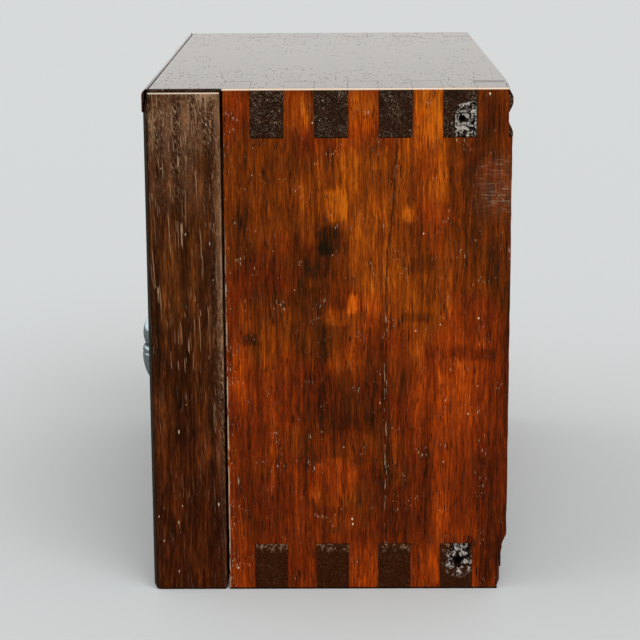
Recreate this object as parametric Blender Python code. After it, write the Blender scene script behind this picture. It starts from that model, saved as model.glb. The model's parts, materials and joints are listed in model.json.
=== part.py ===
"""A small finger-jointed cabinet box with a pair of carved doors, as separate solids.

Metres, +Z up.  The front faces -Y, the length runs along X, and the origin is the middle of the
foot, on the surface that the box stands on.
"""
import math

import bmesh
import bpy
from mathutils import Matrix, Vector

# Case
LENGTH = 0.228
HEIGHT = 0.190
BOARD_T = 0.018
SIDE_T = 0.023
POST_DEPTH = 0.0276
POST_EASE = 0.0011
SHRINK_GAP = 0.0010
SEAT = 0.0003

# Finger joint, from the front edge of a side board to the back
FIRST_FINGER = 0.0097
PIN_W = 0.0122
FINGER_W = 0.0110
PIN_COUNT = 4
LAST_FINGER = 0.0114
LAST_PIN = 0.0015

# Front edge of the top board
NOSE_OUT = 0.0005
NOSE_T = 0.0022
NOSE_H = 0.0085
NOSE_R = 0.0024
LAP_T = 0.0009

# Tongue of a post in its side board
TONGUE_T = 0.0060
TONGUE_OUT = 0.0060
TONGUE_STOP = 0.0040

# Back panel
BACK_GROOVE_W = 0.0072
BACK_GROOVE_D = 0.0090
BACK_INSET = 0.0139
SIDE_GROOVE_D = 0.0070
PLUG_SINK = 0.0008

# Doors
DOOR_T = 0.0140
DOOR_RECESS = 0.0030
DOOR_GAP = 0.0008
HINGE_GAP = 0.0008
MEET_GAP = 0.0012
STILE_W = 0.0180
RAIL_W = 0.0180
TENON_T = 0.0050
TENON_L = 0.0090
TENON_SHOULDER = 0.0040
PANEL_T = 0.0084
PANEL_TONGUE_T = 0.0036
PANEL_TONGUE_D = 0.0050
PANEL_BEVEL = 0.0080
PANEL_BACK = 0.0030

# Pivots
PIVOT_INSET = 0.0060
PIVOT_SETBACK = 0.0050
PIVOT_R = 0.0015
PIVOT_IN_DOOR = 0.0080
PIVOT_IN_BOARD = 0.0070

# Lock plates and tacks
PLATE_R = 0.0160
PLATE_T = 0.0010
TACK_CIRCLE = 0.0128
TACK_ANGLES = (62.0, 0.0, -62.0)
TACK_HEAD_R = 0.0013
TACK_HEAD_H = 0.0008
TACK_SHANK_R = 0.0006
TACK_SHANK_L = 0.0060

# Eyes and drop pulls
EYE_X = 0.0095
EYE_BELOW_PLATE = 0.0050
EYE_REACH = 0.0093
EYE_RING_R = 0.0029
EYE_WIRE_R = 0.0009
EYE_STEM_R = 0.0013
EYE_HEAD_R = 0.0026
EYE_HEAD_T = 0.0012
LINK_RING_R = 0.0026
LINK_WIRE_R = 0.0008
NECK_R = 0.0017
UPPER_LOBE_R = 0.0063
UPPER_LOBE_H = 0.0160
WAIST_R = 0.0053
LOWER_LOBE_R = 0.0067
LOWER_LOBE_H = 0.0150
TIP_R = 0.0014
TIP_END_R = 0.0011
TIP_H = 0.0030
LOBE_FULLNESS = 0.7

# Inside
SHELF_T = 0.0080
SHELF_Z = 0.0900
SHELF_BEHIND_DOORS = 0.0060
CLEAT_T = 0.0070
CLEAT_H = 0.0090
STOP_HALF_L = 0.0200
STOP_T = 0.0060
STOP_H = 0.0060

# Facets
ARC_STEPS = 5
EASE_STEPS = 3
DOME_STEPS = 3
LOBE_STEPS = 6
ROUND_SIDES = 16
WIRE_SIDES = 8
SMOOTH_BELOW = math.radians(35.0)
WELD = 0.000001

# Worked out from the sizes above
SIDE_DEPTH = (FIRST_FINGER + PIN_COUNT * PIN_W + (PIN_COUNT - 1) * FINGER_W + LAST_FINGER + LAST_PIN)
DEPTH = POST_DEPTH + SHRINK_GAP + SIDE_DEPTH
FRONT = -DEPTH / 2
BACK = DEPTH / 2
SIDE_FRONT = BACK - SIDE_DEPTH
END = LENGTH / 2
INNER_X = END - SIDE_T
UNDER_TOP = HEIGHT - BOARD_T
GROOVE_BACK = BACK - BACK_INSET
GROOVE_FRONT = GROOVE_BACK - BACK_GROOVE_W
DOOR_FRONT = FRONT + DOOR_RECESS
DOOR_BACK = DOOR_FRONT + DOOR_T
DOOR_FOOT = BOARD_T + DOOR_GAP
DOOR_HEAD = UNDER_TOP - DOOR_GAP
DOOR_OUTER = INNER_X - HINGE_GAP
DOOR_INNER = MEET_GAP / 2
PIVOT_X = DOOR_OUTER - PIVOT_INSET
PIVOT_Y = DOOR_FRONT + PIVOT_SETBACK
PLATE_Z = HEIGHT / 2
PLATE_BACK = DOOR_FRONT - SEAT
PLATE_FRONT = PLATE_BACK - PLATE_T
EYE_Y = DOOR_FRONT - EYE_REACH
EYE_Z = PLATE_Z - EYE_BELOW_PLATE
EYE_HOLE_R = EYE_RING_R - EYE_WIRE_R
PULL_AXIS_Z = EYE_Z - EYE_HOLE_R + LINK_WIRE_R + SEAT
PANEL_MID = DOOR_FRONT + DOOR_T / 2


def clear_scene():
    """Removes whatever the scene holds."""
    for thing in list(bpy.data.objects):
        bpy.data.objects.remove(thing, do_unlink=True)


def wood_or_metal(name, colour, roughness, metallic=0.0):
    """A plain shader of one colour for one kind of piece."""
    material = bpy.data.materials.new(name)
    material.use_nodes = True
    shader = material.node_tree.nodes["Principled BSDF"]
    shader.inputs["Base Color"].default_value = (*colour, 1.0)
    shader.inputs["Roughness"].default_value = roughness
    shader.inputs["Metallic"].default_value = metallic
    return material


def add_object(name, mesh, material=None):
    """Links a mesh into the scene as a named piece, or as a hidden cutter when it has no material."""
    piece = bpy.data.objects.new(name, mesh)
    bpy.context.scene.collection.objects.link(piece)
    if material is None:
        piece.hide_render = True
        piece.display_type = "WIRE"
    else:
        mesh.materials.append(material)
    return piece


def finished(form, name):
    """Turns a bmesh into a mesh with its faces pointing out."""
    bmesh.ops.recalc_face_normals(form, faces=form.faces)
    mesh = bpy.data.meshes.new(name)
    form.to_mesh(mesh)
    form.free()
    return mesh


def add_prism(form, outline, axis, start, end):
    """Extrudes a closed outline along X, Y or Z; the outline's two values are the other axes in order."""
    place = {"X": lambda a, b: (start, a, b),
             "Y": lambda a, b: (a, start, b),
             "Z": lambda a, b: (a, b, start)}
    run = {"X": (end - start, 0, 0), "Y": (0, end - start, 0), "Z": (0, 0, end - start)}
    corners = [form.verts.new(place[axis](a, b)) for a, b in outline]
    face = form.faces.new(corners)
    made = bmesh.ops.extrude_face_region(form, geom=[face])
    moved = [item for item in made["geom"] if isinstance(item, bmesh.types.BMVert)]
    bmesh.ops.translate(form, verts=moved, vec=Vector(run[axis]))


def add_block(form, low, high):
    """A square block between two corners, given in any order along X."""
    x0, x1 = sorted((low[0], high[0]))
    outline = [(low[1], low[2]), (high[1], low[2]), (high[1], high[2]), (low[1], high[2])]
    add_prism(form, outline, "X", x0, x1)


def add_rod(form, radius, start, end, sides=ROUND_SIDES):
    """A round rod from one point to another."""
    start, end = Vector(start), Vector(end)
    run = end - start
    turn = run.to_track_quat("Z", "Y").to_matrix().to_4x4()
    place = Matrix.Translation((start + end) / 2) @ turn
    bmesh.ops.create_cone(form, cap_ends=True, segments=sides, radius1=radius, radius2=radius,
                          depth=run.length, matrix=place)


def add_ring(form, centre, ring_r, wire_r, axis):
    """A wire ring about X or Y, spun from a circle of the wire."""
    centre = Vector(centre)
    spin_axis = {"X": Vector((1, 0, 0)), "Y": Vector((0, 1, 0))}[axis]
    wire = []
    for step in range(WIRE_SIDES):
        angle = math.tau * step / WIRE_SIDES
        up = Vector((0, 0, ring_r + wire_r * math.cos(angle)))
        wire.append(form.verts.new(centre + up + spin_axis * wire_r * math.sin(angle)))
    edges = [form.edges.new((wire[i], wire[(i + 1) % WIRE_SIDES])) for i in range(WIRE_SIDES)]
    bmesh.ops.spin(form, geom=wire + edges, cent=centre, axis=spin_axis, angle=math.tau,
                   steps=ROUND_SIDES, use_merge=True)


def add_turned(form, profile, centre, axis):
    """A turned form from (distance along the axis, radius) points, closed by points of no radius."""
    centre = Vector(centre)
    along = Vector(axis)
    side = along.orthogonal().normalized()
    points = [form.verts.new(centre + along * d + side * r) for d, r in profile]
    edges = [form.edges.new(pair) for pair in zip(points, points[1:])]
    bmesh.ops.spin(form, geom=points + edges, cent=centre, axis=along, angle=math.tau,
                   steps=ROUND_SIDES, use_merge=True)
    bmesh.ops.remove_doubles(form, verts=form.verts, dist=WELD)


def cutter(name, build):
    """A hidden shape for cutting; build fills its bmesh."""
    form = bmesh.new()
    build(form)
    return add_object(name, finished(form, name))


def carry(parent, child):
    """Parents an object to another where it is, so that the two move together."""
    child.parent = parent
    child.matrix_parent_inverse = Matrix.Translation(parent.location).inverted()


def combine(piece, other, operation):
    """Puts a Boolean modifier for one cutter on a piece, which then carries the cutter."""
    change = piece.modifiers.new(other.name, "BOOLEAN")
    change.operation = operation
    change.solver = "EXACT"
    change.object = other
    carry(piece, other)


def smooth(mesh):
    """Shades a round piece smooth, with its sharp edges kept."""
    mesh.shade_smooth()
    mesh.set_sharp_from_angle(angle=SMOOTH_BELOW)


def arc(centre, radius, start, end, steps=ARC_STEPS):
    """Points of a circular arc, angles in degrees, ends included."""
    turns = [math.radians(start + (end - start) * i / steps) for i in range(steps + 1)]
    return [(centre[0] + radius * math.cos(t), centre[1] + radius * math.sin(t)) for t in turns]


def rounded_rectangle(low, high, radius):
    """A rectangle with its four corners rounded."""
    (a0, b0), (a1, b1) = low, high
    centres = ((a0 + radius, b0 + radius, 180), (a1 - radius, b0 + radius, 270),
               (a1 - radius, b1 - radius, 0), (a0 + radius, b1 - radius, 90))
    return [point for a, b, turn in centres for point in arc((a, b), radius, turn, turn + 90, EASE_STEPS)]


def finger_spans():
    """The (front, back) of each finger of a side board, along Y."""
    spans = [(SIDE_FRONT, SIDE_FRONT + FIRST_FINGER)]
    for index in range(1, PIN_COUNT + 1):
        start = spans[-1][1] + PIN_W
        width = FINGER_W if index < PIN_COUNT else LAST_FINGER
        spans.append((start, start + width))
    return spans


def door_side(side):
    """The name's first word for the door or end on one side of the middle, +1 or -1."""
    return "right" if side > 0 else "left"


def add_end_sockets(form, low, high):
    """Slots at both ends of the top or bottom board for the side boards' fingers."""
    for side in (1, -1):
        for front, back in finger_spans():
            inside = (side * (INNER_X - SEAT), front - SEAT, low)
            add_block(form, inside, (side * (END + SEAT), back + SEAT, high))


def add_pivot_holes(form, low, high):
    """Round sockets for the doors' pivot pins."""
    for side in (1, -1):
        x = side * PIVOT_X
        add_rod(form, PIVOT_R + SEAT, (x, PIVOT_Y, low), (x, PIVOT_Y, high))


def add_post_pockets(form, low, high, front):
    """Corner pockets for the two front posts, open at the ends."""
    for side in (1, -1):
        inside = (side * (INNER_X - SEAT), front, low)
        add_block(form, inside, (side * (END + SEAT), SIDE_FRONT - SEAT / 2, high))


def make_top_board(wood):
    """A profile with the front nose and the back groove, run along the length, then cut at the ends."""
    nose_foot = HEIGHT - NOSE_H
    nose_face = FRONT - NOSE_OUT
    roof = UNDER_TOP + BACK_GROOVE_D
    profile = [(FRONT, UNDER_TOP)]
    profile += arc((FRONT, nose_foot + NOSE_OUT), NOSE_OUT, 270, 180)
    profile += arc((nose_face + NOSE_R, HEIGHT - NOSE_R), NOSE_R, 180, 90)
    profile += [(BACK, HEIGHT), (BACK, UNDER_TOP), (GROOVE_BACK, UNDER_TOP), (GROOVE_BACK, roof)]
    profile += [(GROOVE_FRONT, roof), (GROOVE_FRONT, UNDER_TOP)]
    form = bmesh.new()
    add_prism(form, profile, "X", -END, END)
    board = add_object("top_board", finished(form, "top_board"), wood)
    over = HEIGHT + SEAT
    under = UNDER_TOP - SEAT
    combine(board, cutter("top_sockets", lambda f: add_end_sockets(f, under, over)), "DIFFERENCE")
    lap_under = HEIGHT - LAP_T
    pockets = cutter("top_pockets", lambda f: add_post_pockets(f, under, lap_under, nose_face + NOSE_T))
    combine(board, pockets, "DIFFERENCE")
    fronts = cutter("top_pocket_fronts", lambda f: add_post_pockets(f, under, nose_foot, FRONT - SEAT))
    combine(board, fronts, "DIFFERENCE")
    deep = UNDER_TOP + PIVOT_IN_BOARD + SEAT
    combine(board, cutter("top_pivot_holes", lambda f: add_pivot_holes(f, under, deep)), "DIFFERENCE")


def make_bottom_board(wood):
    """A profile with the back groove, run along the length, then cut at the ends and for the posts."""
    floor = BOARD_T - BACK_GROOVE_D
    profile = [(FRONT, 0), (BACK, 0), (BACK, BOARD_T), (GROOVE_BACK, BOARD_T), (GROOVE_BACK, floor)]
    profile += [(GROOVE_FRONT, floor), (GROOVE_FRONT, BOARD_T), (FRONT, BOARD_T)]
    form = bmesh.new()
    add_prism(form, profile, "X", -END, END)
    board = add_object("bottom_board", finished(form, "bottom_board"), wood)
    over = BOARD_T + SEAT
    combine(board, cutter("foot_sockets", lambda f: add_end_sockets(f, -SEAT, over)), "DIFFERENCE")
    pockets = cutter("foot_pockets", lambda f: add_post_pockets(f, -SEAT, over, FRONT - SEAT))
    combine(board, pockets, "DIFFERENCE")
    deep = BOARD_T - PIVOT_IN_BOARD - SEAT
    combine(board, cutter("foot_pivot_holes", lambda f: add_pivot_holes(f, deep, over)), "DIFFERENCE")


def side_outline():
    """Outline of a side board in Y and Z, with fingers at the head and the foot."""
    spans = finger_spans()
    high = [(spans[0][0], HEIGHT)]
    low = [(spans[0][0], 0.0)]
    for front, back in spans:
        if front > spans[0][0]:
            high += [(front, UNDER_TOP - SEAT), (front, HEIGHT)]
            low += [(front, BOARD_T + SEAT), (front, 0.0)]
        high += [(back, HEIGHT), (back, UNDER_TOP - SEAT)]
        low += [(back, 0.0), (back, BOARD_T + SEAT)]
    high.append((BACK, UNDER_TOP - SEAT))
    low.append((BACK, BOARD_T + SEAT))
    return low + high[::-1]


def make_side_board(side, wood):
    """The finger outline at its thickness, grooved inside for the back and in front for the post."""
    name = f"{door_side(side)}_side_board"
    form = bmesh.new()
    add_prism(form, side_outline(), "X", *sorted((side * INNER_X, side * END)))
    board = add_object(name, finished(form, name), wood)

    def back_groove(f):
        low = (side * (INNER_X - SEAT), GROOVE_FRONT, -SEAT)
        add_block(f, low, (side * (INNER_X + SIDE_GROOVE_D), GROOVE_BACK, HEIGHT + SEAT))

    def tongue_groove(f):
        middle = INNER_X + SIDE_T / 2
        half = TONGUE_T / 2 + SEAT
        foot = BOARD_T + TONGUE_STOP - SEAT
        head = UNDER_TOP - TONGUE_STOP + SEAT
        end = SIDE_FRONT + TONGUE_OUT - SHRINK_GAP + SEAT
        add_block(f, (side * (middle - half), SIDE_FRONT - SEAT, foot), (side * (middle + half), end, head))

    combine(board, cutter(f"{name}_back_groove", back_groove), "DIFFERENCE")
    combine(board, cutter(f"{name}_tongue_groove", tongue_groove), "DIFFERENCE")


def make_front_post(side, wood):
    """An eased upright from the floor to the lap of the top, cut back for the nose, with a stopped tongue."""
    name = f"{door_side(side)}_front_post"
    x0, x1 = sorted((side * INNER_X, side * END))
    behind = FRONT + POST_DEPTH
    form = bmesh.new()
    outline = rounded_rectangle((x0, FRONT), (x1, behind), POST_EASE)
    add_prism(form, outline, "Z", 0.0, HEIGHT - LAP_T - SEAT)
    post = add_object(name, finished(form, name), wood)

    def tongue(f):
        middle = INNER_X + SIDE_T / 2
        low = (side * (middle - TONGUE_T / 2), behind - TONGUE_OUT, BOARD_T + TONGUE_STOP)
        add_block(f, low, (side * (middle + TONGUE_T / 2), behind + TONGUE_OUT, UNDER_TOP - TONGUE_STOP))

    def nose_rebate(f):
        low = (x0 - SEAT, FRONT - SEAT, HEIGHT - NOSE_H - SEAT)
        add_block(f, low, (x1 + SEAT, FRONT - NOSE_OUT + NOSE_T + SEAT, HEIGHT))

    combine(post, cutter(f"{name}_tongue", tongue), "UNION")
    combine(post, cutter(f"{name}_nose_rebate", nose_rebate), "DIFFERENCE")


def make_back(wood, filler):
    """The floating panel in its grooves, and the filler in the grooves' open ends."""
    reach = INNER_X + SIDE_GROOVE_D - SEAT
    rise = BACK_GROOVE_D - SEAT
    form = bmesh.new()
    low = (-reach, GROOVE_FRONT + SEAT, BOARD_T - rise)
    add_block(form, low, (reach, GROOVE_BACK - SEAT, UNDER_TOP + rise))
    add_object("back_panel", finished(form, "back_panel"), wood)
    inner = reach + 2 * SEAT
    levels = (("lower", BOARD_T - rise, BOARD_T - SEAT), ("upper", UNDER_TOP + SEAT, UNDER_TOP + rise))
    for side in (1, -1):
        for level, foot, head in levels:
            name = f"{door_side(side)}_{level}_groove_plug"
            form = bmesh.new()
            low = (side * inner, GROOVE_FRONT + SEAT, foot)
            add_block(form, low, (side * (END - PLUG_SINK), GROOVE_BACK - SEAT, head))
            add_object(name, finished(form, name), filler)


def make_inside(wood):
    """A loose shelf on two cleats, and the stops behind the meeting stiles."""
    front = DOOR_BACK + SHELF_BEHIND_DOORS
    back = GROOVE_FRONT - SEAT
    form = bmesh.new()
    reach = INNER_X - SEAT
    add_block(form, (-reach, front, SHELF_Z), (reach, back, SHELF_Z + SHELF_T))
    add_object("shelf", finished(form, "shelf"), wood)
    for side in (1, -1):
        name = f"{door_side(side)}_shelf_cleat"
        form = bmesh.new()
        head = SHELF_Z - SEAT
        low = (side * (INNER_X - SEAT - CLEAT_T), SIDE_FRONT + SEAT, head - CLEAT_H)
        add_block(form, low, (side * (INNER_X - SEAT), back, head))
        add_object(name, finished(form, name), wood)
    stop_front = DOOR_BACK + SEAT
    levels = (("upper_door_stop", UNDER_TOP - SEAT - STOP_H), ("lower_door_stop", BOARD_T + SEAT))
    for name, foot in levels:
        form = bmesh.new()
        low = (-STOP_HALF_L, stop_front, foot)
        add_block(form, low, (STOP_HALF_L, stop_front + STOP_T, foot + STOP_H))
        add_object(name, finished(form, name), wood)


def hinge_stile_outline(side):
    """Plan of the hinge stile: its front outer corner turns about the pivot."""
    start = -math.degrees(math.acos(math.sqrt(max(0.0, 1 - (PIVOT_SETBACK / PIVOT_INSET) ** 2))))
    corner = arc((PIVOT_X, PIVOT_Y), PIVOT_INSET, start, 0.0)
    inner = DOOR_OUTER - STILE_W
    plan = [(inner, DOOR_FRONT)] + corner + [(DOOR_OUTER, DOOR_BACK), (inner, DOOR_BACK)]
    return [(side * x, y) for x, y in plan]


def groove_depths():
    """Front and back of the groove that holds a door panel."""
    middle = DOOR_BACK - PANEL_BACK - PANEL_TONGUE_T / 2
    half = PANEL_TONGUE_T / 2 + SEAT
    return middle - half, middle + half


def add_stile_groove(form, side, edge, inward):
    """The panel groove in a stile's inner edge; inward points into the stile."""
    front, back = groove_depths()
    low_rail = DOOR_FOOT + RAIL_W
    high_rail = DOOR_HEAD - RAIL_W
    outside = edge - inward * SEAT
    depth = edge + inward * (PANEL_TONGUE_D + SEAT)
    add_block(form, (side * outside, front, low_rail - PANEL_TONGUE_D - SEAT),
              (side * depth, back, high_rail + PANEL_TONGUE_D + SEAT))


def tenon_heights():
    """Foot and head of the bottom rail's tenons and of the top rail's, clear of the panel groove."""
    inner = RAIL_W - PANEL_TONGUE_D - 2 * SEAT
    return ((DOOR_FOOT + TENON_SHOULDER, DOOR_FOOT + inner), (DOOR_HEAD - inner, DOOR_HEAD - TENON_SHOULDER))


def add_mortises(form, side, edge, inward):
    """Blind mortises for the rails' tenons."""
    front = PANEL_MID - TENON_T / 2 - SEAT
    back = PANEL_MID + TENON_T / 2 + SEAT
    deep = edge + inward * (TENON_L + SEAT)
    outside = edge - inward * SEAT
    for foot, head in tenon_heights():
        add_block(form, (side * outside, front, foot - SEAT), (side * deep, back, head + SEAT))


def make_stiles(side, wood):
    """The two uprights of a door, mortised, grooved and drilled."""
    word = door_side(side)
    hinge = f"{word}_hinge_stile"
    form = bmesh.new()
    add_prism(form, hinge_stile_outline(side), "Z", DOOR_FOOT, DOOR_HEAD)
    hinge_stile = add_object(hinge, finished(form, hinge), wood)
    edge = DOOR_OUTER - STILE_W
    groove = cutter(f"{hinge}_groove", lambda f: add_stile_groove(f, side, edge, 1))
    combine(hinge_stile, groove, "DIFFERENCE")
    mortises = cutter(f"{hinge}_mortises", lambda f: add_mortises(f, side, edge, 1))
    combine(hinge_stile, mortises, "DIFFERENCE")

    def pivot_holes(f):
        hole = PIVOT_R + SEAT
        x = side * PIVOT_X
        add_rod(f, hole, (x, PIVOT_Y, DOOR_FOOT - SEAT), (x, PIVOT_Y, DOOR_FOOT + PIVOT_IN_DOOR + SEAT))
        add_rod(f, hole, (x, PIVOT_Y, DOOR_HEAD - PIVOT_IN_DOOR - SEAT), (x, PIVOT_Y, DOOR_HEAD + SEAT))

    combine(hinge_stile, cutter(f"{hinge}_pivot_holes", pivot_holes), "DIFFERENCE")
    lock = f"{word}_lock_stile"
    form = bmesh.new()
    far = DOOR_INNER + STILE_W
    add_block(form, (side * DOOR_INNER, DOOR_FRONT, DOOR_FOOT), (side * far, DOOR_BACK, DOOR_HEAD))
    lock_stile = add_object(lock, finished(form, lock), wood)
    groove = cutter(f"{lock}_groove", lambda f: add_stile_groove(f, side, far, -1))
    combine(lock_stile, groove, "DIFFERENCE")
    mortises = cutter(f"{lock}_mortises", lambda f: add_mortises(f, side, far, -1))
    combine(lock_stile, mortises, "DIFFERENCE")

    def fitting_holes(f):
        x = side * EYE_X
        add_rod(f, EYE_STEM_R + SEAT, (x, DOOR_FRONT - SEAT, EYE_Z), (x, DOOR_BACK + SEAT, EYE_Z))
        for x, z in tack_places(side):
            end = PLATE_FRONT + TACK_SHANK_L + SEAT
            add_rod(f, TACK_SHANK_R + SEAT, (x, DOOR_FRONT - SEAT, z), (x, end, z), WIRE_SIDES)

    combine(lock_stile, cutter(f"{lock}_fitting_holes", fitting_holes), "DIFFERENCE")
    return [hinge_stile, lock_stile]


def make_rails(side, wood):
    """The two cross pieces of a door, each with a tenon at both ends and a groove for the panel."""
    front, back = groove_depths()
    x0 = DOOR_INNER + STILE_W + SEAT
    x1 = DOOR_OUTER - STILE_W - SEAT
    rails = (("door_bottom_rail", DOOR_FOOT, 1), ("door_top_rail", DOOR_HEAD - RAIL_W, -1))
    made = []
    for (end, foot, inward), (tenon_foot, tenon_head) in zip(rails, tenon_heights()):
        name = f"{door_side(side)}_{end}"
        form = bmesh.new()
        add_block(form, (side * x0, DOOR_FRONT, foot), (side * x1, DOOR_BACK, foot + RAIL_W))
        rail = add_object(name, finished(form, name), wood)

        def tenons(f):
            low = (side * (x0 - TENON_L), PANEL_MID - TENON_T / 2, tenon_foot)
            add_block(f, low, (side * (x1 + TENON_L), PANEL_MID + TENON_T / 2, tenon_head))

        def groove(f):
            edge = foot + RAIL_W if inward > 0 else foot
            z0, z1 = sorted((edge + inward * SEAT, edge - inward * (PANEL_TONGUE_D + SEAT)))
            add_block(f, (side * (x0 - SEAT), front, z0), (side * (x1 + SEAT), back, z1))

        combine(rail, cutter(f"{name}_tenons", tenons), "UNION")
        combine(rail, cutter(f"{name}_groove", groove), "DIFFERENCE")
        made.append(rail)
    return made


def make_panel(side, wood):
    """A panel with a thin tongue all round and a raised field with a sloped border."""
    name = f"{door_side(side)}_carved_panel"
    x0 = DOOR_INNER + STILE_W
    x1 = DOOR_OUTER - STILE_W
    z0 = DOOR_FOOT + RAIL_W
    z1 = DOOR_HEAD - RAIL_W
    back = DOOR_BACK - PANEL_BACK
    flat = back - PANEL_TONGUE_T
    field = back - PANEL_T
    rings = ((-PANEL_TONGUE_D, back), (-PANEL_TONGUE_D, flat), (SEAT, flat), (PANEL_BEVEL, field))
    form = bmesh.new()
    loops = []
    for inset, y in rings:
        corners = ((x0 + inset, z0 + inset), (x1 - inset, z0 + inset),
                   (x1 - inset, z1 - inset), (x0 + inset, z1 - inset))
        loops.append([form.verts.new((side * x, y, z)) for x, z in corners])
    for near, far in zip(loops, loops[1:]):
        for i in range(4):
            form.faces.new((near[i], near[(i + 1) % 4], far[(i + 1) % 4], far[i]))
    form.faces.new(loops[0])
    form.faces.new(loops[-1])
    return add_object(name, finished(form, name), wood)


def make_pivot_pins(side, metal):
    """The pins that a door turns on, at its head and its foot."""
    x = side * PIVOT_X
    ends = (("upper_pivot_pin", DOOR_HEAD - PIVOT_IN_DOOR, UNDER_TOP + PIVOT_IN_BOARD),
            ("lower_pivot_pin", BOARD_T - PIVOT_IN_BOARD, DOOR_FOOT + PIVOT_IN_DOOR))
    made = []
    for end, low, high in ends:
        name = f"{door_side(side)}_{end}"
        form = bmesh.new()
        add_rod(form, PIVOT_R, (x, PIVOT_Y, low), (x, PIVOT_Y, high))
        mesh = finished(form, name)
        smooth(mesh)
        made.append(add_object(name, mesh, metal))
    return made


def tack_places(side):
    """X and Z of the tacks round a lock plate."""
    places = []
    for degrees in TACK_ANGLES:
        turn = math.radians(degrees)
        x = DOOR_INNER + TACK_CIRCLE * math.cos(turn)
        places.append((side * x, PLATE_Z + TACK_CIRCLE * math.sin(turn)))
    return places


def make_lock_plate(side, metal):
    """Half of a round plate on a lock stile, drilled for the eye and the tacks."""
    name = f"{door_side(side)}_lock_plate"
    edge = DOOR_INNER + SEAT
    rim = arc((edge, PLATE_Z), PLATE_R, -90, 90, ROUND_SIDES)
    form = bmesh.new()
    add_prism(form, [(side * x, z) for x, z in rim], "Y", PLATE_FRONT, PLATE_BACK)
    plate = add_object(name, finished(form, name), metal)

    def holes(f):
        x = side * EYE_X
        add_rod(f, EYE_STEM_R + SEAT, (x, PLATE_FRONT - SEAT, EYE_Z), (x, PLATE_BACK + SEAT, EYE_Z))
        for x, z in tack_places(side):
            add_rod(f, TACK_SHANK_R + SEAT, (x, PLATE_FRONT - SEAT, z), (x, PLATE_BACK + SEAT, z), WIRE_SIDES)

    combine(plate, cutter(f"{name}_holes", holes), "DIFFERENCE")
    return plate


def make_plate_tacks(side, metal):
    """Domed tacks through a lock plate, each driven into the stile behind it."""
    head = PLATE_FRONT - SEAT
    turns = [math.pi / 2 * i / DOME_STEPS for i in range(DOME_STEPS + 1)]
    dome = [(TACK_HEAD_H * math.cos(t), TACK_HEAD_R * math.sin(t)) for t in turns]
    dome += [(0.0, TACK_SHANK_R), (-TACK_SHANK_L, TACK_SHANK_R), (-TACK_SHANK_L, 0.0)]
    made = []
    for index, (x, z) in enumerate(tack_places(side), 1):
        name = f"{door_side(side)}_plate_tack_{index}"
        form = bmesh.new()
        add_turned(form, dome, (x, head, z), (0, -1, 0))
        mesh = finished(form, name)
        smooth(mesh)
        made.append(add_object(name, mesh, metal))
    return made


def make_eye_pin(side, metal):
    """A pin through the lock stile with a ring at its front end and a clenched head behind."""
    name = f"{door_side(side)}_eye_pin"
    x = side * EYE_X
    form = bmesh.new()
    add_ring(form, (x, EYE_Y, EYE_Z), EYE_RING_R, EYE_WIRE_R, "X")
    mesh = finished(form, name)
    smooth(mesh)
    eye = add_object(name, mesh, metal)
    behind = DOOR_BACK + SEAT
    stem_front = EYE_Y + EYE_RING_R

    def stem(f):
        add_rod(f, EYE_STEM_R, (x, stem_front, EYE_Z), (x, behind + EYE_HEAD_T / 2, EYE_Z))

    def head(f):
        add_rod(f, EYE_HEAD_R, (x, behind, EYE_Z), (x, behind + EYE_HEAD_T, EYE_Z))

    combine(eye, cutter(f"{name}_stem", stem), "UNION")
    combine(eye, cutter(f"{name}_head", head), "UNION")
    return eye


def lobe(start, height, low_r, high_r, end_r):
    """Half a wave of radius along a lobe, from one neck over the widest part to the next neck."""
    points = []
    for i in range(1, LOBE_STEPS + 1):
        t = i / LOBE_STEPS
        neck = low_r + (end_r - low_r) * t
        points.append((start + height * t, neck + (high_r - neck) * math.sin(math.pi * t) ** LOBE_FULLNESS))
    return points


def make_drop_pull(side, metal):
    """A turned drop of two lobes under a small ring that hangs in the eye."""
    name = f"{door_side(side)}_drop_pull"
    x = side * EYE_X
    ring_z = PULL_AXIS_Z - LINK_RING_R
    form = bmesh.new()
    add_ring(form, (0, 0, ring_z - PULL_AXIS_Z), LINK_RING_R, LINK_WIRE_R, "Y")
    mesh = finished(form, name)
    smooth(mesh)
    pull = add_object(name, mesh, metal)
    pull.location = (x, EYE_Y, PULL_AXIS_Z)
    start = 2 * LINK_RING_R
    waist = start + UPPER_LOBE_H
    foot = waist + LOWER_LOBE_H
    profile = [(start, 0.0), (start, NECK_R)]
    profile += lobe(start, UPPER_LOBE_H, NECK_R, UPPER_LOBE_R, WAIST_R)
    profile += lobe(waist, LOWER_LOBE_H, WAIST_R, LOWER_LOBE_R, TIP_R)
    profile += [(foot + TIP_H, TIP_END_R), (foot + TIP_H, 0.0)]
    drop = cutter(f"{name}_lobes", lambda f: add_turned(f, profile, (0, 0, 0), (0, 0, -1)))
    drop.location = pull.location
    combine(pull, drop, "UNION")
    return pull


def hang_door(side, pieces):
    """Parents a door's pieces, and the pull that hangs on it, to an empty on the pivot axis."""
    axis = bpy.data.objects.new(f"{door_side(side)}_door", None)
    axis.location = (side * PIVOT_X, PIVOT_Y, DOOR_FOOT)
    bpy.context.scene.collection.objects.link(axis)
    for piece in pieces:
        carry(axis, piece)


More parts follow.
